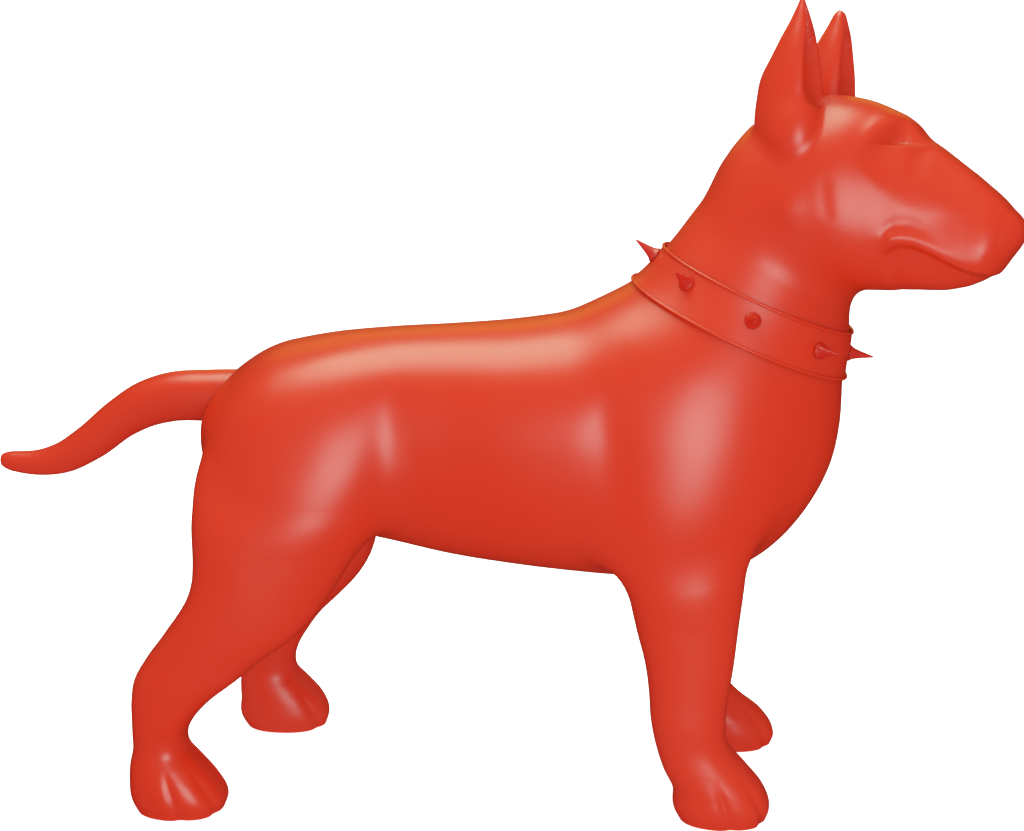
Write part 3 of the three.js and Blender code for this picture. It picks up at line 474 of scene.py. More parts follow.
def unit(vectors):
    """Vectors of length one."""
    return vectors / np.maximum(np.linalg.norm(vectors, axis=-1, keepdims=True), 1e-12)


def settle(field, points, rounds=6, most=4.0):
    """Points moved onto the field's zero by the value times the slope, over the slope squared."""
    for _ in range(rounds):
        way = slope(field, points)
        value = field(*points.reshape(-1, 3).T).reshape(points.shape[:-1])
        length = np.maximum((way**2).sum(-1), FLATTEST)
        points = points - np.clip(value / length, -most, most)[..., None] * way
    return points


def page_points(field, centre, top, left, angles, tip=0.0, most=430.0):
    """Where rays leave the field: cosine towards the top, sine towards the left, tipped off the page."""
    top, left = (np.broadcast_to(way, centre.shape) for way in (top, left))
    tip = np.broadcast_to(tip, len(centre))
    flat = np.cos(angles)[None, :, None] * top[:, None] + np.sin(angles)[None, :, None] * left[:, None]
    normal = unit(np.cross(left, top))
    ways = np.cos(tip)[:, None, None] * flat + np.sin(tip)[:, None, None] * normal[:, None]
    return reach(field, np.broadcast_to(centre[:, None], ways.shape).copy(), unit(ways), most)


# %% [markdown]
# ## Meeting lines
# Two pieces of one skin, such as the trunk and a leg, meet on the line where both formulas are equal. A grid
# point next to that line is moved exactly onto it, so that both pieces end on the same line, and no
# step or gap shows. Faces beyond the line would lie inside the other piece and are left out.

# %% Grids that end on a meeting line
LINE_ROUNDS, LINE_STEP, STEADY = 8, 3, 1e-6


def line_up(points, field, beyond, wrap):
    """Moves one end of each grid edge that crosses the line onto both zeros; gives points and sides."""
    side = beyond(*points.reshape(-1, 3).T).reshape(points.shape[:2])
    chosen = np.zeros(side.shape, bool)
    for axis in (0, 1):
        other = np.roll(side, -1, axis)
        crosses = side * other < 0
        if axis == 0:
            crosses[-1] = False
        elif not wrap:
            crosses[:, -1] = False
        nearer = np.abs(side) <= np.abs(other)
        chosen |= crosses & nearer | np.roll(crosses & ~nearer, 1, axis)
    moving = points[chosen]
    for _ in range(LINE_ROUNDS):
        values = np.stack([field(*moving.T), beyond(*moving.T)], -1)
        ways = np.stack([slope(field, moving), slope(beyond, moving)], -2)
        square = ways @ ways.transpose(0, 2, 1) + STEADY * np.eye(2)
        step = np.linalg.solve(square, values[..., None])
        moving = moving - np.clip((ways.transpose(0, 2, 1) @ step)[..., 0], -LINE_STEP, LINE_STEP)
    points = points.copy()
    points[chosen] = moving
    side[chosen] = 0
    return points, side


def grid_faces(rows, columns, wrap, side=None):
    """Quads of a grid; of a quad with one corner beyond the line, the other three's triangle is kept."""
    first = np.arange(columns if wrap else columns - 1)
    row = (np.arange(rows - 1) * columns)[:, None]
    after = (first + 1) % columns
    below = row + columns
    quads = np.stack([row + first, row + after, below + after, below + first], -1).reshape(-1, 4)
    if side is None:
        return quads, np.zeros((0, 3), int)
    corner = side.ravel()[quads]
    whole = (corner >= 0).all(1)
    triangles = []
    for k in range(4):
        cut = (corner[:, k] < 0) & ((corner < 0).sum(1) == 1)
        triangles.append(quads[cut][:, [(k + 1) % 4, (k + 2) % 4, (k + 3) % 4]])
    return quads[whole], np.concatenate(triangles)


# %% [markdown]
# ## A skin with a wall
# Moulded resin has a wall of five millimetres, so a piece is the outer sheet, an inner sheet one wall
# further in, and a rim along every open edge. Solidify could add the wall, but here the outer sheet must
# keep its exact normals, so the three parts are written into the mesh together. The rim's edges are sharp.
# Every hollow piece is made by the same last function: a grid on its skin is lined up with the piece next
# to it, cut there, given the normals of the whole statue and then its wall.

# %% Making a hollow piece
WALL = 5.0
collection = bpy.context.scene.collection


def edge_keys(edges, count):
    """One whole number for each edge: its first point times the count of points, plus its second."""
    return edges.astype(np.int64) @ (count, 1)


def quad_normals(points, quads):
    """Cross products of the quads' diagonals."""
    a, b, c, d = points[quads.T]
    return np.cross(c - a, d - b)


def write_mesh(name, points, quads, triangles, normals=None, sharp=None):
    """A mesh object from whole arrays: points in the drawing's millimetres, a normal for each corner."""
    mesh = bpy.data.meshes.new(name)
    mesh.vertices.add(len(points))
    mesh.vertices.foreach_set("co", ((points + SHIFT) * MM).astype(np.float32).ravel())
    corners = np.concatenate([quads.ravel(), triangles.ravel()]).astype(np.int32)
    mesh.loops.add(len(corners))
    mesh.loops.foreach_set("vertex_index", corners)
    starts = np.concatenate([4 * np.arange(len(quads)), 4 * len(quads) + 3 * np.arange(len(triangles))])
    mesh.polygons.add(len(starts))
    mesh.polygons.foreach_set("loop_start", starts.astype(np.int32))
    mesh.update(calc_edges=True)
    mesh.polygons.foreach_set("use_smooth", np.ones(len(starts), bool))
    if sharp is not None:
        ends = np.zeros(2 * len(mesh.edges), np.int32)
        mesh.edges.foreach_get("vertices", ends)
        ends, sharp = (edge_keys(np.sort(both, 1), len(points)) for both in (ends.reshape(-1, 2), sharp))
        flags = mesh.attributes.new("sharp_edge", "BOOLEAN", "EDGE")
        flags.data.foreach_set("value", np.isin(ends, sharp))
    if normals is not None:
        mesh.normals_split_custom_set(normals)
    piece = bpy.data.objects.new(name, mesh)
    collection.objects.link(piece)
    return piece


def spokes(ring, hub):
    """Triangles from a closed ring of points to its hub."""
    return np.stack([ring, np.roll(ring, -1), np.full(len(ring), hub)], -1)


def hollow_piece(name, points, normals, quads, triangles, wall):
    """The outer sheet, its copy one wall further in against the normals, and the rim between them."""
    used = np.unique(np.concatenate([quads.ravel(), triangles.ravel()]))
    place = np.full(len(points), -1)
    place[used] = np.arange(len(used))
    points, normals, quads, triangles = points[used], normals[used], place[quads], place[triangles]
    if (quad_normals(points, quads) * normals[quads[:, 0]]).sum() < 0:
        quads, triangles = quads[:, ::-1], triangles[:, ::-1]
    count = len(points)
    edges = np.concatenate([quads[:, [k, (k + 1) % 4]] for k in range(4)]
                           + [triangles[:, [k, (k + 1) % 3]] for k in range(3)])
    open_edges = edges[~np.isin(edge_keys(edges, count), edge_keys(edges[:, ::-1], count))]
    rim = np.concatenate([open_edges[:, ::-1], open_edges + count], 1)
    all_points = np.concatenate([points, points - wall * normals])
    all_quads = np.concatenate([quads, quads[:, ::-1] + count, rim])
    all_triangles = np.concatenate([triangles, triangles[:, ::-1] + count])
    both = np.concatenate([normals, -normals])
    rim_normals = np.repeat(unit(quad_normals(all_points, rim)), 4, 0)
    sheets = all_quads[:2 * len(quads)].ravel()
    corner_normals = np.concatenate([both[sheets], rim_normals, both[all_triangles.ravel()]])
    sharp = np.concatenate([open_edges, open_edges + count])
    print(f"{name}: {len(all_quads) * 2 + len(all_triangles)} triangles, {len(open_edges)} rim edges")
    return write_mesh(name, all_points, all_quads, all_triangles, corner_normals, sharp)


def cut_piece(name, points, field, beyond, whole, wrap=True, hub=None, wall=WALL):
    """A hollow piece from a grid, cut where `beyond` is negative; a hub closes the grid's last row."""
    points, side = line_up(points, field, beyond, wrap)
    quads, triangles = grid_faces(*points.shape[:2], wrap, side)
    last = np.arange(side.size)[-points.shape[1]:]
    flat = points.reshape(-1, 3)
    if hub is not None:
        triangles = np.concatenate([triangles, spokes(last, len(flat))])
        flat = np.concatenate([flat, hub])
    return hollow_piece(name, flat, unit(slope(whole, flat)), quads, triangles, wall)


# %% [markdown]
# ## Finishes
# One coat of satin lacquer covers all that shows. It is not a flat red: a sprayed coat drifts a little
# between red and orange, is glossier in some places, and has the fine waves called orange peel. On the
# spikes the same coat is made a darker red, which is painted shade. The inner steel is brushed, and the
# feet are plain black rubber.

# %% Procedural finishes
# the range that slow noise mostly keeps to, and the height of the finest relief in metres
NOISE_LOW, NOISE_HIGH, RELIEF_HEIGHT = 0.3, 0.7, 0.001


def put(node, **values):
    """Sets a node's inputs; an underscore in a name stands for the space in the socket's name."""
    for socket, value in values.items():
        node.inputs[socket.replace("_", " ")].default_value = value


def finish_of(name, colours, roughness, metallic=0.0, drift=4.0, grain=(1, 1, 1), grain_scale=300.0,
              relief=0.1):
    """A coat whose colour and gloss drift over slow noise, with fine noise as relief."""
    material = bpy.data.materials.new(name)
    material.use_nodes = True
    tree = material.node_tree
    shader = tree.nodes["Principled BSDF"]
    place, slow, tint, gloss, stretch, fine, bump = (tree.nodes.new("ShaderNode" + kind) for kind in (
        "TexCoord", "TexNoise", "Mix", "MapRange", "Mapping", "TexNoise", "Bump"))
    tint.data_type = "RGBA"
    put(shader, Metallic=metallic)
    put(slow, Scale=drift, Detail=3)
    put(tint, A=(*colours[0], 1), B=(*colours[1], 1))
    put(gloss, From_Min=NOISE_LOW, From_Max=NOISE_HIGH, To_Min=roughness[0], To_Max=roughness[1])
    put(stretch, Scale=grain)
    put(fine, Scale=grain_scale, Detail=2)
    put(bump, Strength=relief, Distance=RELIEF_HEIGHT)
    for source, output, target, socket in (
            (place, "Object", slow, "Vector"), (slow, "Fac", tint, "Factor"),
            (tint, "Result", shader, "Base Color"), (slow, "Fac", gloss, "Value"),
            (gloss, "Result", shader, "Roughness"), (place, "Object", stretch, "Vector"),
            (stretch, "Vector", fine, "Vector"), (fine, "Fac", bump, "Height"),
            (bump, "Normal", shader, "Normal")):
        tree.links.new(source.outputs[output], target.inputs[socket])
    return material


# name, two colours, two roughnesses, then metallic, drift, grain, its scale and its relief
FINISHES = {
    "lacquer": finish_of(
        "satin_lacquer", ((0.71, 0.019, 0.001), (0.75, 0.023, 0.002)), (0.32, 0.40), relief=0.06),
    # painted shade: the spikes' lacquer is the body's coat made a darker red
    "lacquered_spikes": finish_of(
        "lacquer_on_spikes", ((0.62, 0.013, 0.006), (0.68, 0.018, 0.007)), (0.28, 0.36)),
    "armature_steel": finish_of(
        "brushed_steel", ((0.50, 0.51, 0.53), (0.58, 0.58, 0.59)), (0.38, 0.52),
        1.0, 12, (1, 1, 0.05), 900, 0.2),
    "sole_plate_steel": finish_of(
        "rolled_steel", ((0.42, 0.43, 0.45), (0.52, 0.52, 0.53)), (0.45, 0.6),
        1.0, 25, (1, 0.1, 1), 700, 0.2),
    "foot_rubber": finish_of(
        "black_rubber", ((0.018, 0.018, 0.019), (0.03, 0.03, 0.03)), (0.75, 0.9),
        0.0, 30, (1, 1, 1), 1400, 0.3),
}
LEFT_WAY = np.array([0.0, 1.0, 0.0])


def dress(piece, slot, *stands_for):
    """The piece rides on the statue's one body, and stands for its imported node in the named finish."""
    piece.data.materials.append(FINISHES[slot])
    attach(piece, "root")
    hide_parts(*stands_for)


# %% [markdown]
# ## The two halves of the trunk
# The real skin comes out of a two-part mould, split along the middle plane, and is bonded, filled and
# sanded so that the joint doesn't show. Both halves share the points on that plane. The pages are fanned:
# round the rump, upright along the back, then about a line above the withers to meet the collar's plane.

# %% The trunk's pages and its halves
COLLAR_CENTRE = np.array([230.0, 0.0, 494.0])
COLLAR_TILT = math.radians(23.9)
TO_NAPE = np.array([-math.cos(COLLAR_TILT), 0.0, math.sin(COLLAR_TILT)])
UP_NECK = np.cross(LEFT_WAY, TO_NAPE)
RUMP_CENTRE = np.array([-205.0, 0.0, 368.0])
RUMP_POLE_RISE, WITHERS_X, RIB_END_HEIGHT = 17.5, 60.0, 362.0
RUMP_PAGES, RIB_PAGES, FAN_PAGES, HALF_ANGLES = 64, 106, 96, 150


def trunk_pages():
    """Centres, tops and tips of the trunk's pages, from the pole of the rump to the collar's plane."""
    share = np.linspace(0, 1, RUMP_PAGES, endpoint=False)[:, None]
    rise = np.radians(RUMP_POLE_RISE * (1 - share))
    rump_top = np.concatenate([np.sin(rise), 0 * rise, np.cos(rise)], 1)
    rib = np.linspace(0, 1, RIB_PAGES, endpoint=False)[:, None]
    rib_centre = RUMP_CENTRE + rib * (np.array([WITHERS_X, 0, RIB_END_HEIGHT]) - RUMP_CENTRE)
    rib_top = np.broadcast_to((0.0, 0.0, 1.0), rib_centre.shape)
    hinge = COLLAR_CENTRE + TO_NAPE * (COLLAR_CENTRE[0] - WITHERS_X) / math.cos(COLLAR_TILT)
    fan = np.linspace(0, 1, FAN_PAGES)[:, None]
    turn = fan * (math.pi / 2 - COLLAR_TILT)
    fan_top = np.concatenate([-np.sin(turn), 0 * turn, np.cos(turn)], 1)
    first, last = hinge[2] - RIB_END_HEIGHT, np.linalg.norm(hinge - COLLAR_CENTRE)
    fan_centre = hinge - fan_top * (first + fan * (last - first))
    centre = np.concatenate([np.broadcast_to(RUMP_CENTRE, rump_top.shape), rib_centre, fan_centre])
    tip = np.radians(np.concatenate([-90 * (1 - share[:, 0]), np.zeros(RIB_PAGES + FAN_PAGES)]))
    return centre, np.concatenate([rump_top, rib_top, fan_top]), tip


folded_trunk = partial(body_with_legs, join=fold)


def clear_of_legs(x, y, z):
    """Positive where the trunk is nearer than every leg."""
    body = body_skin(x, y, z)
    return np.minimum.reduce([leg_skin(x, y, z, leg) - body for leg in LEGS.values()])


def trunk_half(name, start):
    """One half of the trunk: every page turned through half a circle from the given angle."""
    centre, top, tip = trunk_pages()
    angles = start + np.linspace(0, math.pi, HALF_ANGLES)
    points = page_points(folded_trunk, centre, top, LEFT_WAY, angles, tip)
    points[:, [0, -1], 1] = 0
    return cut_piece(name, points, folded_trunk, clear_of_legs, body_with_legs, wrap=False)


for name, start in (("trunk_right", math.pi), ("trunk_left", 0.0)):
    dress(trunk_half(name, start), "lacquer", name)

# %% [markdown]
# ## The four legs
# A leg's grid is level rings from the sole up into the trunk. Level rings suit it because the leg stands
# upright nearly all the way. It ends on the same meeting line as the trunk.

# %% The legs' skins
SOLE_RISE, LEG_ROWS, LEG_ANGLES, LEG_ROWS_TOP = 1.2, 170, 128, 372.0


def leg_piece(name):
    """One leg: rings of rays from its middle line, folded and lined up where it meets the trunk."""
    leg = LEGS[name]

    def folded_leg(x, y, z):
        return fold(leg_skin(x, y, z, leg), body_skin(x, y, z), BLEND_LEG)

    def clear_of_trunk(x, y, z):
        return body_skin(x, y, z) - leg_skin(x, y, z, leg)

    heights = np.linspace(SOLE_RISE, LEG_ROWS_TOP, LEG_ROWS)
    x, y, *_ = leg[1](heights)
    centre = np.stack([x, leg[0] * y, heights], -1)
    angles = np.linspace(0, 2 * math.pi, LEG_ANGLES, endpoint=False)
    points = page_points(folded_leg, centre, (1.0, 0.0, 0.0), LEFT_WAY, angles)
    return cut_piece(name, points, folded_leg, clear_of_trunk, body_with_legs)


for name in LEGS:
    dress(leg_piece(name), "lacquer", name)

# %% [markdown]
# ## The ears' form
# An ear is a leaf folded round a shallow bowl that opens forwards, and it grows out of an egg-shaped bulb
# at the side of the skull. Its sections are ellipses cut off at the rim with a wide fillet, less a smaller
# ellipse for the bowl. In the photograph the left ear's tip is lower and rounder, so a level plane takes it
# off, softly.

# %% The ears as a formula
# height, rim, back, half width, depth of the bowl
EAR = [
    (46, 44, -10, 24, 0), (66, 48, -14, 28, 0.4), (84, 49, -15, 30, 1), (104, 47.5, -13.5, 29.5, 6),
    (124, 46, -10, 27, 11), (144, 43, 0, 23, 12), (162, 39.5, 9, 17.5, 10), (178, 35.5, 17.5, 10.5, 6),
    (188, 32.5, 22, 6, 3), (194, 30.5, 24.5, 3, 1), (199, 29, 26, 0.8, 0.4),
]
EAR_PLACE, EAR_AXIS, EAR_TURNS = 46, 25, {-1: math.radians(6), 1: math.radians(-4)}
# forward at the foot, forward per height, and the height where the tip is worn off
EAR_SHIFT, EAR_WEAR = {-1: (0.0, 0.0), 1: (0.5, 0.05)}, {-1: 205.0, 1: 194.0}
LEAN_FROM, EAR_LIP, RIM_ROUND, BOWL_ROUND, EAR_FILLET, WEAR_ROUND, LEAST = 90, 8.5, 28, 5, 6, 9, 0.4
# middle and half sizes of the bulb at an ear's foot, forward, left and up
EAR_BULB, EAR_BULB_SIZE, BULB_FILLET = (30, 53, 71), (27, 28, 33), 14
ear_at = stations(EAR)


def ear_skin(x, y, z, side):
    """An ellipse to the back, cut at the rim's plane, joined to the bulb, less the bowl and the tip."""
    f, l, u = head_local(x, y, z)
    foot, lean = EAR_SHIFT[side]
    f, l = f - foot - lean * (u - LEAN_FROM), side * l
    bulb = ball(f - EAR_BULB[0], l - EAR_BULB[1], u - EAR_BULB[2], EAR_BULB_SIZE)
    turn, f, l = EAR_TURNS[side], f - EAR_AXIS, l - EAR_PLACE
    f, l = f * math.cos(turn) + l * math.sin(turn) + EAR_AXIS, l * math.cos(turn) - f * math.sin(turn)
    rim, back, half, bowl = ear_at(u)
    deep = rim - back
    outer = (np.sqrt(((rim - f) / deep) ** 2 + (l / half) ** 2) - 1) * np.sqrt(deep * half)
    leaf = -blend(-outer, rim - f, np.clip(half / 1.1, LEAST, RIM_ROUND)) + past(u, EAR[0][0], EAR[-1][0] - 1)
    bowl, lip = np.maximum(bowl, LEAST), np.maximum(half - EAR_LIP, 0.35 * half)
    dish = (np.sqrt(((rim - f) / bowl) ** 2 + (l / lip) ** 2) - 1) * np.sqrt(bowl * lip)
    leaf = blend(-blend(-leaf, dish, np.clip(half / 4, LEAST, BOWL_ROUND)), bulb, BULB_FILLET)
    return -blend(-leaf, EAR_WEAR[side] - u, WEAR_ROUND)


def head_with_ears(x, y, z, join=blend):
    """Neck, carved head and both ears, joined with fillets, or folded at the ears."""
    skin = body_skin(x, y, z, carved=True)
    for side in EAR_SHIFT:
        skin = join(skin, ear_skin(x, y, z, side), EAR_FILLET)
    return skin


folded_head = partial(head_with_ears, join=fold)


def clear_of_ears(x, y, z):
    """Positive where the head is nearer than both ears."""
    head = body_skin(x, y, z, carved=True)
    return np.minimum(ear_skin(x, y, z, -1), ear_skin(x, y, z, 1)) - head


# %% [markdown]
# ## The head
# The head's pages climb the neck, open like a fan about the corner of the throat, run along the muzzle and
# close round the tip of the nose. Angles are packed closer on the sides of the face, where the eye and the
# mouth need fine faces.

# %% The head's skin
THROAT_HINGE, THROAT_REACH, THROAT_FAN = (94, -94), 110, (156, 90)
MUZZLE_END, MUZZLE_CROWD, PACKING = (190, -12), 1.4, 0.12
NECK_PAGES, THROAT_PAGES, MUZZLE_PAGES, NOSE_PAGES, HEAD_ANGLES = 16, 84, 70, 34, 232


def head_pages():
    """Centres, tops, lefts and tips of the head's pages, from the collar's plane to the tip of the nose."""
    turn = np.radians(np.linspace(*THROAT_FAN, THROAT_PAGES))[:, None]
    fan_top = np.cos(turn) * FORWARD + np.sin(turn) * UP
    fan_centre = head_point(THROAT_HINGE[0], 0, THROAT_HINGE[1]) + THROAT_REACH * fan_top
    share = np.linspace(0, 1, NECK_PAGES, endpoint=False)[:, None]
    neck_top = unit((1 - share) * TO_NAPE + share * fan_top[0])
    neck_left = (1 - share) * LEFT_WAY + share * HEAD_LEFT
    neck_left = unit(neck_left - (neck_left * neck_top).sum(1, keepdims=True) * neck_top)
    neck_centre = COLLAR_CENTRE + share * (fan_centre[0] - COLLAR_CENTRE)
    muzzle_end = head_point(MUZZLE_END[0], 0, MUZZLE_END[1])
    along = np.linspace(0, 1, MUZZLE_PAGES + 1)[1:, None] ** MUZZLE_CROWD
    muzzle_centre = fan_centre[-1] + along * (muzzle_end - fan_centre[-1])
    tips = np.linspace(0, math.pi / 2, NOSE_PAGES + 1)[1:]
    centre = np.concatenate([neck_centre, fan_centre, muzzle_centre, np.tile(muzzle_end, (NOSE_PAGES, 1))])
    later = len(centre) - NECK_PAGES - THROAT_PAGES
    top = np.concatenate([neck_top, fan_top, np.tile(UP, (later, 1))])
    left = np.concatenate([neck_left, np.tile(HEAD_LEFT, (len(centre) - NECK_PAGES, 1))])
    tip = np.concatenate([np.zeros(len(centre) - NOSE_PAGES), tips])
    return centre, top, left, tip


def packed_angles(count):
    """Angles round a page, closest where eyes and lips are: even ones plus a share of their fourfold sine."""
    even = np.linspace(0, 2 * math.pi, count, endpoint=False)
    return even + PACKING * np.sin(4 * even)


def head_piece():
    """The head as one hollow skin; its pages end under the collar."""
    centre, top, left, tip = head_pages()
    points = page_points(folded_head, centre, top, left, packed_angles(HEAD_ANGLES), tip)
    return cut_piece("head", points, folded_head, clear_of_ears, head_with_ears)


dress(head_piece(), "lacquer", "head")

# %% [markdown]
# ## The ears
# The ear's own grid is level rings of rays, from inside the bulb up to the tip. A ring's middle lies behind
# the bowl, from where a ray can see every point of its section. The foot ends on the skull's meeting line.

# %% The ears' skins
EAR_ROWS, EAR_COLUMNS, EAR_FOOT, EAR_TOP, EAR_WALL, TIP_CROWD = 150, 150, 42.0, 1.6, 0.9, 1.3
# heights between which a ring's middle moves from the bulb to the leaf, and its place from rim to back
LEAF_FROM, LEAF_RISE, LEAF_BACK = 80, 60, 0.6


def ear_piece(name, side):
    """One ear: level rings of rays on the folded skin, closed at the tip, ending on the skull's line."""
    def folded_ear(x, y, z):
        return fold(ear_skin(x, y, z, side), body_skin(x, y, z, carved=True), EAR_FILLET)

    def clear_of_head(x, y, z):
        return body_skin(x, y, z, carved=True) - ear_skin(x, y, z, side)

    rows = np.linspace(0, 1, EAR_ROWS)
    top = min(EAR[-1][0], EAR_WEAR[side]) - EAR_TOP
    height = EAR_FOOT + (top - EAR_FOOT) * (1 - (1 - rows) ** TIP_CROWD)
    rim, back, *_ = ear_at(height)
    foot, lean = EAR_SHIFT[side]
    high = ramp((height - LEAF_FROM) / LEAF_RISE)
    leaf = LEAF_BACK * back + (1 - LEAF_BACK) * rim
    forward = (1 - high) * EAR_BULB[0] + high * leaf + foot + lean * (height - LEAN_FROM)
    aside = side * ((1 - high) * EAR_BULB[1] + high * EAR_PLACE)
    centre = head_point(forward, aside, height)
    angles = np.linspace(0, 2 * math.pi, EAR_COLUMNS, endpoint=False)
    points = page_points(folded_ear, centre, FORWARD, HEAD_LEFT, angles, most=90.0)
    hub = reach(folded_ear, centre[-1:], UP[None], most=40.0)
    return cut_piece(name, points, folded_ear, clear_of_head, head_with_ears, hub=hub, wall=EAR_WALL)


for name, side in (("ear_right", -1), ("ear_left", 1)):
    dress(ear_piece(name, side), "lacquer", name)

# %% [markdown]
# ## The tail
# The tail is solid and round, so it is a ring carried along a curve, a little flatter from side to side.
# Each line along it starts exactly where it leaves the trunk's skin, and the root is closed by rings laid
# on that skin. A crisp crease is left there, because the real tail is a separate moulding glued on.

# %% The tail's rings
# x, height and radius along the middle line
TAIL = [
    (-270, 398, 26), (-305, 397, 26), (-345, 394.5, 25), (-370, 387, 23.5), (-395, 373, 21),
    (-430, 346, 18.8), (-460, 329, 16), (-486, 323.5, 13), (-506, 324, 11), (-515, 325, 9.6),
    (-520.5, 325.7, 7.4), (-523.8, 326, 4.4), (-525, 326, 0.6),
]
TAIL_FLATTEN, TAIL_ROWS, TAIL_COLUMNS, ROOT_RINGS, ROOT_HALVINGS, NEARBY = 0.94, 150, 96, 10, 20, 0.004


def ringed_piece(name, rings, sharp_angle=40):
    """A closed skin through rings of points, with a hub at each end and sharp edges at its corners."""
    rows, columns, _ = rings.shape
    quads, _ = grid_faces(rows, columns, True)
    ring, hub = np.arange(columns), rows * columns
    triangles = np.concatenate([spokes(ring, hub)[:, [1, 0, 2]], spokes(ring + hub - columns, hub + 1)])
    points = np.concatenate([rings.reshape(-1, 3), rings[0].mean(0)[None], rings[-1].mean(0)[None]])
    if (quad_normals(points, quads) * (points[quads].mean(1) - points.mean(0))).sum() < 0:
        quads, triangles = quads[:, ::-1], triangles[:, ::-1]
    piece = write_mesh(name, points, quads, triangles)
    piece.data.set_sharp_from_angle(angle=math.radians(sharp_angle))
    print(f"{name}: {2 * len(quads) + len(triangles)} triangles")
    return piece


tail_path = np.array(TAIL, float)
tail_length = np.append(0, np.cumsum(np.hypot(*np.diff(tail_path[:, :2], axis=0).T)))
tail_at = stations(np.column_stack([tail_length / tail_length[-1], tail_path]))


def tail_surface(share, angle):
    """The middle line's point, plus its radius times cosine upwards and sine to the left."""
    x, z, radius = tail_at(share)
    (x0, z0, _), (x1, z1, _) = tail_at(share - NEARBY), tail_at(share + NEARBY)
    along = unit(np.stack([x1 - x0, 0 * x, z1 - z0], -1))
    up = np.stack([along[..., 2], 0 * x, -along[..., 0]], -1)
    round_way = np.cos(angle)[..., None] * up + TAIL_FLATTEN * np.sin(angle)[..., None] * LEFT_WAY
    return np.stack([x, 0 * x, z], -1) + radius[..., None] * round_way


def tail_piece():
    """The tail from the trunk's skin to the tip, and the rings that close its root."""
    angle = np.linspace(0, 2 * math.pi, TAIL_COLUMNS, endpoint=False)
    low, high = np.zeros(TAIL_COLUMNS), np.full(TAIL_COLUMNS, 0.5)
    for _ in range(ROOT_HALVINGS):
        middle = (low + high) / 2
        inside = body_skin(*tail_surface(middle, angle).T) < 0
        low, high = np.where(inside, middle, low), np.where(inside, high, middle)
    share = np.linspace(0, 1, TAIL_ROWS)[:, None] ** 0.9
    rings = tail_surface(low + (1 - low) * share, np.broadcast_to(angle, (TAIL_ROWS, TAIL_COLUMNS)))
    shrink = np.linspace(0.1, 1, ROOT_RINGS, endpoint=False)[:, None, None]
    hub = rings[0].mean(0)
    root = settle(body_skin, hub + shrink * (rings[0] - hub))
    return ringed_piece("tail", np.concatenate([root, rings]))


dress(tail_piece(), "lacquer", "tail")

# %% [markdown]
# ## The collar
# The collar is a band with a rolled bead along each edge, lying a little off the neck. Its section is drawn
# once as height along the neck and distance from the skin, and laid along the neck at every angle.

# %% The collar's band
COLLAR_WIDTH, COLLAR_BAND, COLLAR_BEAD, COLLAR_CLEARANCE = 45.0, 1.6, 1.4, 1.0
COLLAR_ANGLES, BEAD_START, BEAD_SWEEP, BEAD_POINTS, FACE_POINTS, INSIDE_POINTS = 320, -20, 220, 14, 10, 8


def collar_section():
    """Heights and distances round the band: flat inside, a bead's arc at each edge, and a dished face."""
    edge, face = COLLAR_WIDTH / 2, COLLAR_CLEARANCE + COLLAR_BAND
    angle = np.radians(np.linspace(BEAD_START, BEAD_START + BEAD_SWEEP, BEAD_POINTS))
    height = edge - COLLAR_BEAD + COLLAR_BEAD * np.cos(angle)
    out = face + COLLAR_BEAD * (np.sin(angle) - math.sin(angle[0]))
    band = np.linspace(edge - 2 * COLLAR_BEAD, -edge + 2 * COLLAR_BEAD, FACE_POINTS + 2)[1:-1]
    inside = np.linspace(-edge + 1, edge - 1, INSIDE_POINTS)
    heights = [inside, height, band, -height[::-1]]
    outs = [np.full(INSIDE_POINTS, COLLAR_CLEARANCE), out, np.full(FACE_POINTS, face), out[::-1]]
    return np.concatenate(heights), np.concatenate(outs)


def collar_points(heights, outs, angles):
    """Points at these heights along the neck and angles round it, at a distance off the skin."""
    centre = COLLAR_CENTRE + np.multiply.outer(heights, UP_NECK)
    points = page_points(body_skin, centre, TO_NAPE, LEFT_WAY, angles)
    return points + outs[:, None, None] * unit(slope(body_skin, points))


def collar_piece():
    """The section joined to itself round the neck, so the grid wraps both ways."""
    rings = collar_points(*collar_section(), np.linspace(0, 2 * math.pi, COLLAR_ANGLES, endpoint=False))
    rings = np.concatenate([rings, rings[:1]])
    quads, _ = grid_faces(len(rings), COLLAR_ANGLES, True)
    quads = quads % ((len(rings) - 1) * COLLAR_ANGLES)
    piece = write_mesh("collar", rings[:-1].reshape(-1, 3), quads, np.zeros((0, 3), int))
    piece.data.set_sharp_from_angle(angle=math.radians(50))
    return piece


dress(collar_piece(), "lacquer", "collar")

# %% [markdown]
# ## The spikes
# Eight turned studs are screwed through the band, one at the nape and then every eighth of the way round.
# They sit at the band's middle under the throat, and higher and higher up the band towards the nape. Each
# is a lathe profile: a short foot, a hollow flare and a cone with a tip that is rounded for safety.

# %% The collar's spikes
SPIKE_COUNT, SPIKE_SIDES, SPIKE_SEAT, SPIKE_RISE = 8, 72, 0.15, 4.4
PATCH_ANGLE, PATCH_HEIGHT = 0.05, 6.0
# radius and height
SPIKE = [
    (2.0, 0), (5.0, 0), (7.6, 0), (8.0, 0.4), (8.0, 1.3), (7.7, 2.0), (6.9, 2.8), (6.1, 4.0),
    (5.4, 5.6), (4.8, 7.4), (4.2, 9.4), (3.5, 12.2), (2.8, 15.2), (2.1, 18.2), (1.5, 21.0),
    (1.0, 23.2), (0.75, 24.2), (0.4, 24.8),
]


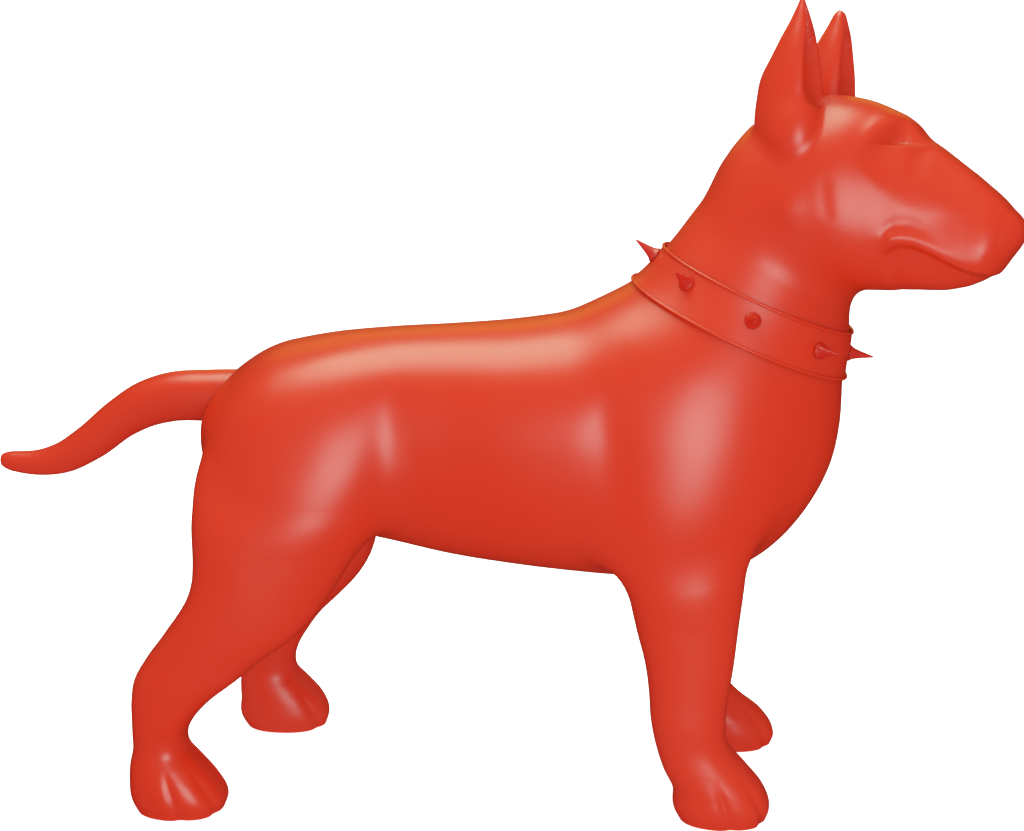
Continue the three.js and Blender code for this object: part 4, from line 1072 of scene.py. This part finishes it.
def spike_piece(name, angle):
    """The profile turned about the way that stands square off the band at this angle."""
    around = np.array([angle - PATCH_ANGLE, angle, angle + PATCH_ANGLE])
    heights = SPIKE_RISE * (1 + math.cos(angle)) + np.array([-PATCH_HEIGHT, 0, PATCH_HEIGHT])
    patch = collar_points(heights, np.full(3, COLLAR_CLEARANCE + COLLAR_BAND + SPIKE_SEAT), around)
    out = unit(np.cross(patch[1, 2] - patch[1, 0], patch[2, 1] - patch[0, 1]))
    out = out if out @ (patch[1, 1] - COLLAR_CENTRE) > 0 else -out
    side = unit(np.cross(out, UP_NECK))
    radius, rise = np.array(SPIKE).T
    turn = np.linspace(0, 2 * math.pi, SPIKE_SIDES, endpoint=False)
    ring = np.cos(turn)[:, None] * side + np.sin(turn)[:, None] * np.cross(out, side)
    rings = patch[1, 1] + rise[:, None, None] * out + radius[:, None, None] * ring
    return ringed_piece(name, rings, 32)


# the spikes wear the darker copy of the lacquer, which is painted shade
for i in range(SPIKE_COUNT):
    name = f"spike_{i + 1}"
    dress(spike_piece(name, 2 * math.pi * i / SPIKE_COUNT), "lacquered_spikes", name)

# %% [markdown]
# ## The armature stays as packed
# Rods, yokes, spine, sole plates and rubber pads are plain turned, sawn and cast parts, so the packed
# solids are already right. They are kept, and only get their finish.

# %% Finishes of the kept pieces
KEPT = {"rod": "armature_steel", "yoke": "armature_steel", "tube": "armature_steel",
        "plate": "sole_plate_steel", "pad": "foot_rubber"}
for name, node in nodes.items():
    ending = name.rsplit("_", 1)[-1]
    if ending in KEPT:
        for holder in node.material_slots:
            holder.material = FINISHES[KEPT[ending]]

# %% [markdown]
# ## Studio, light and camera
# The photograph is a product shot on white: a large softbox right overhead, a small one by the camera, and
# a warm glow from behind that edges every top in orange. The room gives an even soft light from all sides,
# which the lacquer doesn't mirror. The lamps are short of red: the coat throws back nearly all red and hardly
# any green or blue, so such a lamp lays a pale highlight on it and leaves the rest of the side as it is. The
# sweep is a floor that curves up behind the statue, so no horizon shows. It glows white by itself and lights
# nothing, because a lit sheet would tint the belly and show its own shading.

# %% The white sweep
SWEEP_FRONT, SWEEP_BACK, SWEEP_RADIUS, SWEEP_HEIGHT, SWEEP_HALF, SWEEP_STEPS = -6.0, 3.4, 1.6, 7.0, 9.0, 33


def sweep():
    """A floor, a quarter circle and a wall, drawn as one curved sheet."""
    turn = np.linspace(0, math.pi / 2, SWEEP_STEPS)
    curve = SWEEP_BACK + SWEEP_RADIUS * np.sin(turn)
    y = np.concatenate([[SWEEP_FRONT], curve, [SWEEP_BACK + SWEEP_RADIUS]])
    z = np.concatenate([[0], SWEEP_RADIUS * (1 - np.cos(turn)), [SWEEP_HEIGHT]])
    left, right = (np.stack([np.full(len(y), x), y, z], -1) for x in (-SWEEP_HALF, SWEEP_HALF))
    mesh, count = bpy.data.meshes.new("sweep"), len(y)
    quads = [(i, i + count, i + count + 1, i + 1) for i in range(count - 1)]
    mesh.from_pydata(np.concatenate([left, right]).tolist(), [], quads)
    mesh.polygons.foreach_set("use_smooth", np.ones(count - 1, bool))
    return bpy.data.objects.new("sweep", mesh)


backdrop = sweep()
collection.objects.link(backdrop)
paper = bpy.data.materials.new("white_paper")
paper.use_nodes = True
put(paper.node_tree.nodes["Principled BSDF"], Base_Color=(0.86, 0.86, 0.86, 1), Roughness=0.9,
    Specular_IOR_Level=0.1, Emission_Color=(1, 1, 1, 1), Emission_Strength=0.9)
backdrop.data.materials.append(paper)
backdrop.visible_glossy = backdrop.visible_diffuse = backdrop.visible_shadow = False

# %% Light
ROOM_LIGHT, LAMP_AIM = 0.82, Vector((0, 0, 0.4))
# place and size in metres, radiance, colour
SOFTBOXES = {
    "overhead": ((-0.2, 0.15, 2.3), (1.8, 1.6), 7.4, (0.24, 1.0, 0.78)),
    "by_the_camera": ((0.40, -1.75, 0.56), (0.96, 0.92), 8.2, (0.34, 1.0, 0.96)),
    "warm_from_behind": ((0.0, 2.6, 1.75), (3.2, 1.0), 1.0, (0.9, 0.85, 0.12)),
}
world = bpy.data.worlds.new("studio")
bpy.context.scene.world = world
world.use_nodes = True
world.cycles_visibility.glossy = False
put(world.node_tree.nodes["Background"], Color=(1, 1, 1, 1), Strength=ROOM_LIGHT)


def softbox(name, place, size, radiance, colour):
    """An elliptical lamp aimed at the statue; its power is radiance times area times pi."""
    lamp = bpy.data.lights.new(name, "AREA")
    lamp.shape = "ELLIPSE"
    lamp.size, lamp.size_y = size
    lamp.energy = radiance * size[0] * size[1] * math.pi**2 / 4
    lamp.color = colour
    light = bpy.data.objects.new(name, lamp)
    light.location = place
    light.rotation_euler = (LAMP_AIM - Vector(place)).to_track_quat("-Z", "Y").to_euler()
    light.visible_camera = False
    collection.objects.link(light)


for name, lamp in SOFTBOXES.items():
    softbox(name, *lamp)

# %% Camera
SUBJECT, DISTANCE, CAMERA_RISE, AZIMUTH = (0.0, 0.0, 381.0), 2000.0, 485.0, math.radians(4)
PICTURE_WIDTH, FOCAL_PIXELS, SENSOR = 1024, 2058.0, 36
camera = bpy.data.objects.new("camera", bpy.data.cameras.new("camera"))
collection.objects.link(camera)
subject = (np.array(SUBJECT) + SHIFT) * MM
away = np.array([DISTANCE * math.sin(AZIMUTH), -DISTANCE * math.cos(AZIMUTH), CAMERA_RISE])
station = subject + MM * away
camera.location = station
camera.rotation_euler = (Vector(subject) - Vector(station)).to_track_quat("-Z", "Y").to_euler()
camera.data.sensor_width = SENSOR
camera.data.lens = SENSOR * FOCAL_PIXELS / PICTURE_WIDTH
bpy.context.scene.camera = camera
bpy.context.scene.view_settings.view_transform = "Standard"
